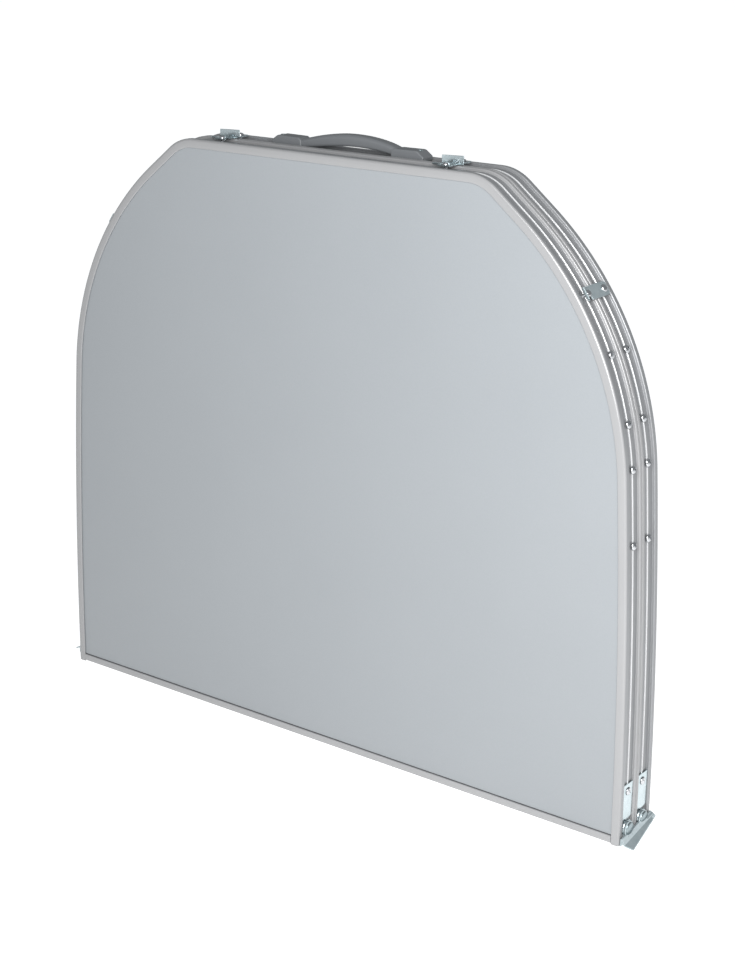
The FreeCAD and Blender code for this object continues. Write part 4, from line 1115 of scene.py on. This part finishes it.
@dataclass
class LatchSet:
    """Turning latches, the rivets that they turn on and the studs that they hook over."""

    finishes: Finishes
    seat: float = 0.4
    thickness: float = 1.5
    width: float = 15.0
    tail: float = 7.5
    nose: float = 35.0
    stud_run: float = 30.6
    slot_radius: float = 2.7
    tab_run: float = 17.5
    tab_width: float = 24.0
    tab_height: float = 9.5
    tab_angle: float = math.radians(15.0)
    side_height: float = 581.0
    top_right: float = 147.0
    top_left: float = -156.0
    rivet_head: Point2 = (4.2, 2.6)
    stud_head: Point2 = (3.8, 2.2)

    def spots(self) -> list[LatchSpot]:
        """Every latch on the table."""
        x, z, angle = OUTLINE.at_height(self.side_height)
        found = []
        for side in Side:
            way = Vector((side.value * math.cos(angle), 0, math.sin(angle)))
            found.append(LatchSpot(f"side_latch_{side.name.lower()}", LatchKind.SIDE,
                                   Vector((side.value * x, PIVOT_Y, z)), way, side.value))
        for side, x in ((Side.RIGHT, self.top_right), (Side.LEFT, self.top_left)):
            found.append(LatchSpot(f"top_latch_{side.name.lower()}", LatchKind.TOP,
                                   Vector((x, PIVOT_Y, OUTLINE.length)), Vector((0, 0, 1)), -side.value))
        return found

    def plate_outline(self, slot_side: int) -> list[Point2]:
        """Plate seen from outside, with a curved slot that opens to the trailing edge.

        Args:
            slot_side: +1 or -1, the long edge in which the slot opens.

        Returns:
            Points in local X and Y.
        """
        half = self.width / 2
        inner, outer = self.stud_run - self.slot_radius, self.stud_run + self.slot_radius
        points = [(self.nose, -half), (self.nose, half)]
        points += [(math.sqrt(outer ** 2 - y ** 2), y) for y in (half, half * 0.66, half * 0.33, 0.0)]
        points += [(self.stud_run + self.slot_radius * math.cos(t), -self.slot_radius * math.sin(t))
                   for t in (math.pi * k / 10 for k in range(1, 10))]
        points += [(math.sqrt(inner ** 2 - y ** 2), y) for y in (0.0, half * 0.33, half * 0.66, half)]
        tail = rounded([(0, half, 0), (-self.tail, half, 3.2), (-self.tail, -half, 3.2), (0, -half, 0)], 4)[1:-1]
        return [(x, y * slot_side) for x, y in points + tail]

    def side_shells(self, spot: LatchSpot) -> list[bpy.types.Mesh]:
        """Curled nose and stiffening ribs of a side latch."""
        curl = [(self.nose - 1.0, self.seat), (self.nose + 1.0, self.seat + 0.2), (self.nose + 3.0, self.seat + 1.4),
                (self.nose + 4.4, self.seat + 3.4), (self.nose + 4.9, self.seat + 5.4),
                (self.nose + 3.6, self.seat + 5.7), (self.nose + 3.0, self.seat + 4.0),
                (self.nose + 1.9, self.seat + 2.6), (self.nose + 0.6, self.seat + 1.8),
                (self.nose - 1.0, self.seat + self.thickness)]
        half = self.width / 2 - 1.2
        rib = [(x, -spot.slot_side * (self.width / 2 - 0.7) + w) for x, w in
               ((-3.5, -0.6), (self.nose, -0.6), (self.nose, 0.6), (-3.5, 0.6))]
        return [prism(curl, -half, half, "xzy", spot.place),
                prism(rib, self.seat + 0.5, self.seat + self.thickness + 0.7, "xyz", spot.place)]

    def top_shells(self, spot: LatchSpot) -> list[bpy.types.Mesh]:
        """Upright thumb tab and hooked tongue of a top latch."""
        along, across = math.cos(self.tab_angle), math.sin(self.tab_angle)
        reach, thick = self.tab_width / 2, self.thickness / 2
        tab = [(self.tab_run - reach * across * run + thick * along * flank,
                reach * along * run + thick * across * flank)
               for run, flank in ((-1, -1), (-0.5, -1.5), (0, -1.7), (0.5, -1.5), (1, -1),
                                  (1, 1), (0.5, 0.5), (0, 0.3), (-0.5, 0.5), (-1, 1))]
        tongue = rounded([(23.5, -6.0, 0), (23.5, -19.0, 2.0), (29.0, -19.0, 2.0), (29.0, -6.0, 0)], 3)
        leg = [(28.0, -10.0), (28.0, -7.0), (30.4, -7.0), (30.4, -10.0)]
        return [prism(tab, self.seat, self.seat + self.tab_height, "xyz", spot.place),
                prism(tongue, self.seat + 0.3, self.seat + 1.8, "xyz", spot.place),
                prism(leg, self.seat - 0.2, self.seat + 1.7, "xyz", spot.place)]

    def build_plate(self, spot: LatchSpot) -> None:
        """Builds one latch."""
        shells = [prism(self.plate_outline(spot.slot_side), self.seat, self.seat + self.thickness, "xyz",
                        spot.place)]
        if spot.kind is LatchKind.SIDE:
            shells += self.side_shells(spot)
            # The side latch plates take the darker zinc as their own tone.
            finish = self.finishes.worn_zinc
        else:
            shells += self.top_shells(spot)
            finish = self.finishes.zinc
        item = new_piece(f"{spot.name}_plate", merged_mesh(spot.name, shells), finish)
        bevelled(item, 0.25)
        register(item, f"{spot.name}_body", "zinc_steel", spot.name)

    def head(self, place: Matrix, size: Point2, low: float) -> bpy.types.Mesh:
        """Round-headed rivet or stud with its shank, from a head radius and height."""
        radius, height = size
        dome = [(radius * math.cos(t), low + 0.3 + (height - 0.3) * math.sin(t))
                for t in (math.pi / 2 * k / 8 for k in range(8))]
        return lathe([(0, -CHANNEL_DEPTH - 3.0), (2.2, -CHANNEL_DEPTH - 3.0), (2.2, low), (radius, low)] + dome
                     + [(0, low + height)], place, 28)

    def build(self) -> None:
        """Builds latches, rivets and studs."""
        spots = self.spots()
        for spot in spots:
            self.build_plate(spot)
        top = self.seat + self.thickness
        for kind in LatchKind:
            places = [spot.place for spot in spots if spot.kind is kind]
            rivets = merged_mesh("rivets", [self.head(place, self.rivet_head, top + 0.1) for place in places])
            item = new_piece(f"rear {kind.value} latch rivets", rivets, self.finishes.steel, 40)
            register(item, "rear_half", "bright_screw", f"rear_{kind.value}_latch_rivets")
            forward = Matrix.Translation(Vector((self.stud_run, 0, 0)))
            studs = merged_mesh("studs", [self.head(place @ forward, self.stud_head, top + 0.2) for place in places])
            item = new_piece(f"front {kind.value} latch studs", studs, self.finishes.steel, 40)
            register(item, "front_half", "bright_screw", f"front_{kind.value}_latch_studs")


# ------------------------------------------------------------------ handle
@dataclass
class CarryHandle:
    """Moulded arch between two mounts on the flat end of the rear half."""

    finishes: Finishes
    sweep: SweepTree
    centre_y: float = 15.5
    grip_width: float = 17.0
    grip_thickness: float = 9.5
    mount_width: float = 19.0
    inner: float = 61.0
    outer: float = 102.0
    floor: float = 686.7
    top: float = 698.5
    screw_x: float = 93.0
    swell: float = 0.38

    def arch(self) -> list[Point2]:
        """Top line of the grip from right to left."""
        knots = [(70.0, 696.9), (62.0, 700.4), (46.0, 704.4), (26.0, 706.8), (10.0, 707.4), (-4.0, 707.1),
                 (-18.0, 705.8), (-41.0, 702.0), (-58.0, 697.6), (-70.0, 694.4)]
        spline = bpy.data.curves.new("arch", "CURVE").splines.new("NURBS")
        spline.points.add(len(knots) - 1)
        for point, (x, z) in zip(spline.points, knots):
            point.co = (x * MM, 0.0, z * MM, 1.0)
        spline.order_u = 4
        spline.use_endpoint_u = True
        spline.resolution_u = 6
        line = take_result(linked("arch", spline.id_data), [])
        points = [(v.co.x / MM, v.co.z / MM) for v in line.vertices]
        return sorted(points, key=lambda p: -p[0])

    def crown_at(self, x: float, line: list[Point2]) -> float:
        """Height of the grip's top line above a place along X.

        Args:
            x: the place.
            line: points of the top line from left to right.

        Returns:
            The height, in millimetres.
        """
        for (x0, z0), (x1, z1) in zip(line, line[1:]):
            if x0 <= x <= x1:
                return z0 + (z1 - z0) * (x - x0) / max(x1 - x0, 1e-9)
        return line[0][1] if x < line[0][0] else line[-1][1]

    def section(self) -> list[Point2]:
        """Grip section: a crowned top and softly rounded edges, as y and depth pairs."""
        half, thick = self.grip_width / 2, self.grip_thickness
        corners = [(-half, 2.2, 2.6), (-half + 3.0, 0.3, 4.0), (0.0, 0.0, 12.0), (half - 3.0, 0.3, 4.0),
                   (half, 2.2, 2.6), (half - 0.8, thick, 3.0), (-half + 0.8, thick, 3.0)]
        return [(self.centre_y + y, u) for y, u in rounded(corners, 6)]

    def build_grip(self) -> None:
        """Sweeps the grip."""
        line = self.arch()
        mesh = self.sweep.run(line, self.section(), self.finishes.grey_plastic)
        for vertex in mesh.vertices:
            across = abs(vertex.co.x / MM) / self.inner
            crown = self.crown_at(vertex.co.x / MM, line[::-1])
            swell = 1.0 + self.swell * max(0.0, 1.0 - across ** 2)
            vertex.co.z = (crown - (crown - vertex.co.z / MM) * swell) * MM
        item = new_piece("handle grip arch", mesh, self.finishes.grey_plastic, 50)
        register(item, "rear_half", "grey_plastic", "handle_grip")

    def build_mounts(self) -> None:
        """Moulded mounts with rounded tops."""
        shells = []
        for side in Side:
            shape = rounded([(self.inner, self.floor, 0), (self.outer, self.floor, 0),
                             (self.outer + 1.5, self.top - 6.5, 2.0), (self.outer - 7.5, self.top, 5.0),
                             (self.inner + 4.0, self.top - 0.3, 3.0), (self.inner, self.top - 3.0, 2.0)], 6)
            shape = [(side.value * x, z) for x, z in shape]
            low = self.centre_y - self.mount_width / 2
            shells.append(prism(shape, low, low + self.mount_width, "xzy"))
        item = new_piece("handle mounts moulded", merged_mesh("mounts", shells), self.finishes.grey_plastic, 40)
        bevelled(item, 1.4, 3)
        register(item, "rear_half", "grey_plastic", "handle_mounts")

    def build_screws(self) -> None:
        """Flush screws in the mounts."""
        shells = []
        for side in Side:
            place = facing(Vector((side.value * self.screw_x, self.centre_y, self.top)), Vector((0, 0, 1)))
            shells.append(lathe([(0, -16.0), (1.5, -16.0), (1.5, -2.0), (3.0, -1.0), (3.0, 0.05), (2.6, 0.15),
                                 (1.0, 0.15), (0.7, -0.5), (0, -0.5)], place, 24))
        item = new_piece("handle mount screws", merged_mesh("screws", shells), self.finishes.dark_zinc, 40)
        register(item, "rear_half", "bright_screw", "handle_screws")

    def build(self) -> None:
        """Builds the handle."""
        self.build_mounts()
        self.build_grip()
        self.build_screws()


# ------------------------------------------------------------------ plain CAD nodes
@dataclass
class PlainParts:
    """CAD nodes that are shown as they are, each with its finish."""

    finishes: Finishes

    def finish_for(self, node: str) -> bpy.types.Material:
        """Picks the finish of a node from its record slot."""
        slots = {entry["node"]: entry["material_slot"] for entry in frame["record"]["subparts"]}
        by_slot = {
            "panel_laminate": self.finishes.laminate, "anodised_aluminium": self.finishes.mill_aluminium,
            "leg_aluminium": self.finishes.mill_aluminium, "zinc_steel": self.finishes.zinc,
            "bright_screw": self.finishes.steel, "grey_plastic": self.finishes.grey_plastic,
            "black_plastic": self.finishes.black_plastic}
        return by_slot[slots[node]]

    def build(self) -> None:
        """Dresses every CAD node, shown or not."""
        for name, item in frame["nodes"].items():
            material = self.finish_for(name)
            item.data.materials.clear()
            item.data.materials.append(material)
            self.finishes.slot_of(material)
        LOG.info("dressed %d CAD nodes", len(frame["nodes"]))


# ------------------------------------------------------------------ studio
@dataclass
class Studio:
    """Pale floor, soft lights and the camera."""

    camera_place: Vector = field(default_factory=lambda: Vector((1.23855, -1.6005, 0.98273)))
    azimuth: float = 0.6430
    elevation: float = 0.3226
    roll: float = 0.0092
    focal_ratio: float = 1.91
    surround: float = 0.36
    floor_reach: float = 14.0
    floor_glow: float = 0.72
    aim: Vector = field(default_factory=lambda: Vector((0.2, 0.0, 0.4)))
    key_place: Vector = field(default_factory=lambda: Vector((0.8, -1.0, 0.95)))
    key_size: Point2 = (0.9, 0.9)
    key_power: float = 34.0

    def build_camera(self) -> None:
        """Places the camera that frames the table."""
        data = bpy.data.cameras.new("studio camera")
        data.sensor_width = 36.0
        data.lens = self.focal_ratio * data.sensor_width
        data.clip_start, data.clip_end = 0.05, 60.0
        camera = linked("studio camera", data)
        a, e = self.azimuth, self.elevation
        forward = Vector((-math.sin(a) * math.cos(e), math.cos(a) * math.cos(e), -math.sin(e)))
        right = forward.cross(Vector((0, 0, 1))).normalized()
        up = right.cross(forward)
        c, s = math.cos(self.roll), math.sin(self.roll)
        tilted_right, tilted_up = right * c + up * s, up * c - right * s
        matrix = Matrix((tilted_right, tilted_up, -forward)).transposed().to_4x4()
        matrix.translation = self.camera_place
        camera.matrix_world = matrix
        bpy.context.scene.camera = camera

    def area(self, name: str, place: Vector, target: Vector, size: Point2, power: float) -> bpy.types.Object:
        """One soft rectangular light aimed at a point."""
        data = bpy.data.lights.new(name, "AREA")
        data.shape = "RECTANGLE"
        data.size, data.size_y = size
        data.energy = power
        light = linked(name, data)
        light.location = place
        light.rotation_euler = (target - place).to_track_quat("-Z", "Y").to_euler()
        return light

    def build_world(self) -> None:
        """Even, dim surround."""
        world = bpy.data.worlds.new("studio")
        world.use_nodes = True
        shade = world.node_tree.nodes["Background"]
        shade.inputs["Color"].default_value = (0.93, 0.97, 1.0, 1.0)
        shade.inputs["Strength"].default_value = self.surround
        bpy.context.scene.world = world

    def build_floor(self) -> None:
        """Wide pale floor."""
        mesh = bpy.data.meshes.new("floor")
        reach = self.floor_reach
        mesh.from_pydata([(-reach, -reach, 0), (reach, -reach, 0), (reach, reach, 0), (-reach, reach, 0)], [],
                         [(0, 1, 2, 3)])
        material = Finish("pale floor", "floor", ((0.86, 0.86, 0.86), (0.9, 0.9, 0.9)), (0.7, 0.8),
                          grain=(3.0, 3.0, 3.0), bump=0.0, specular=0.2).build()
        shader = material.node_tree.nodes["Principled BSDF"]
        shader.inputs["Emission Color"].default_value = (1.0, 1.0, 1.0, 1.0)
        shader.inputs["Emission Strength"].default_value = self.floor_glow
        mesh.materials.append(material)
        linked("floor", mesh)

    def build(self) -> None:
        """Builds the whole studio."""
        self.build_camera()
        self.build_world()
        self.build_floor()
        self.area("key", self.key_place, self.aim, self.key_size, self.key_power)
        bpy.context.scene.view_settings.view_transform = "Standard"


def main() -> None:
    """Builds the table's pieces in order, then the studio."""
    logging.basicConfig(level=logging.INFO, format="%(message)s")
    finishes = Finishes()
    sweep, screws = SweepTree(), ScrewTree()
    PlainParts(finishes).build()
    for half in Half:
        CaseHalf(half, finishes, sweep).build()
    FastenerSet(finishes, screws).build()
    HingeFittings(finishes).build()
    LatchSet(finishes).build()
    CarryHandle(finishes, sweep).build()
    Studio().build()


if __name__ == "__main__":
    main()
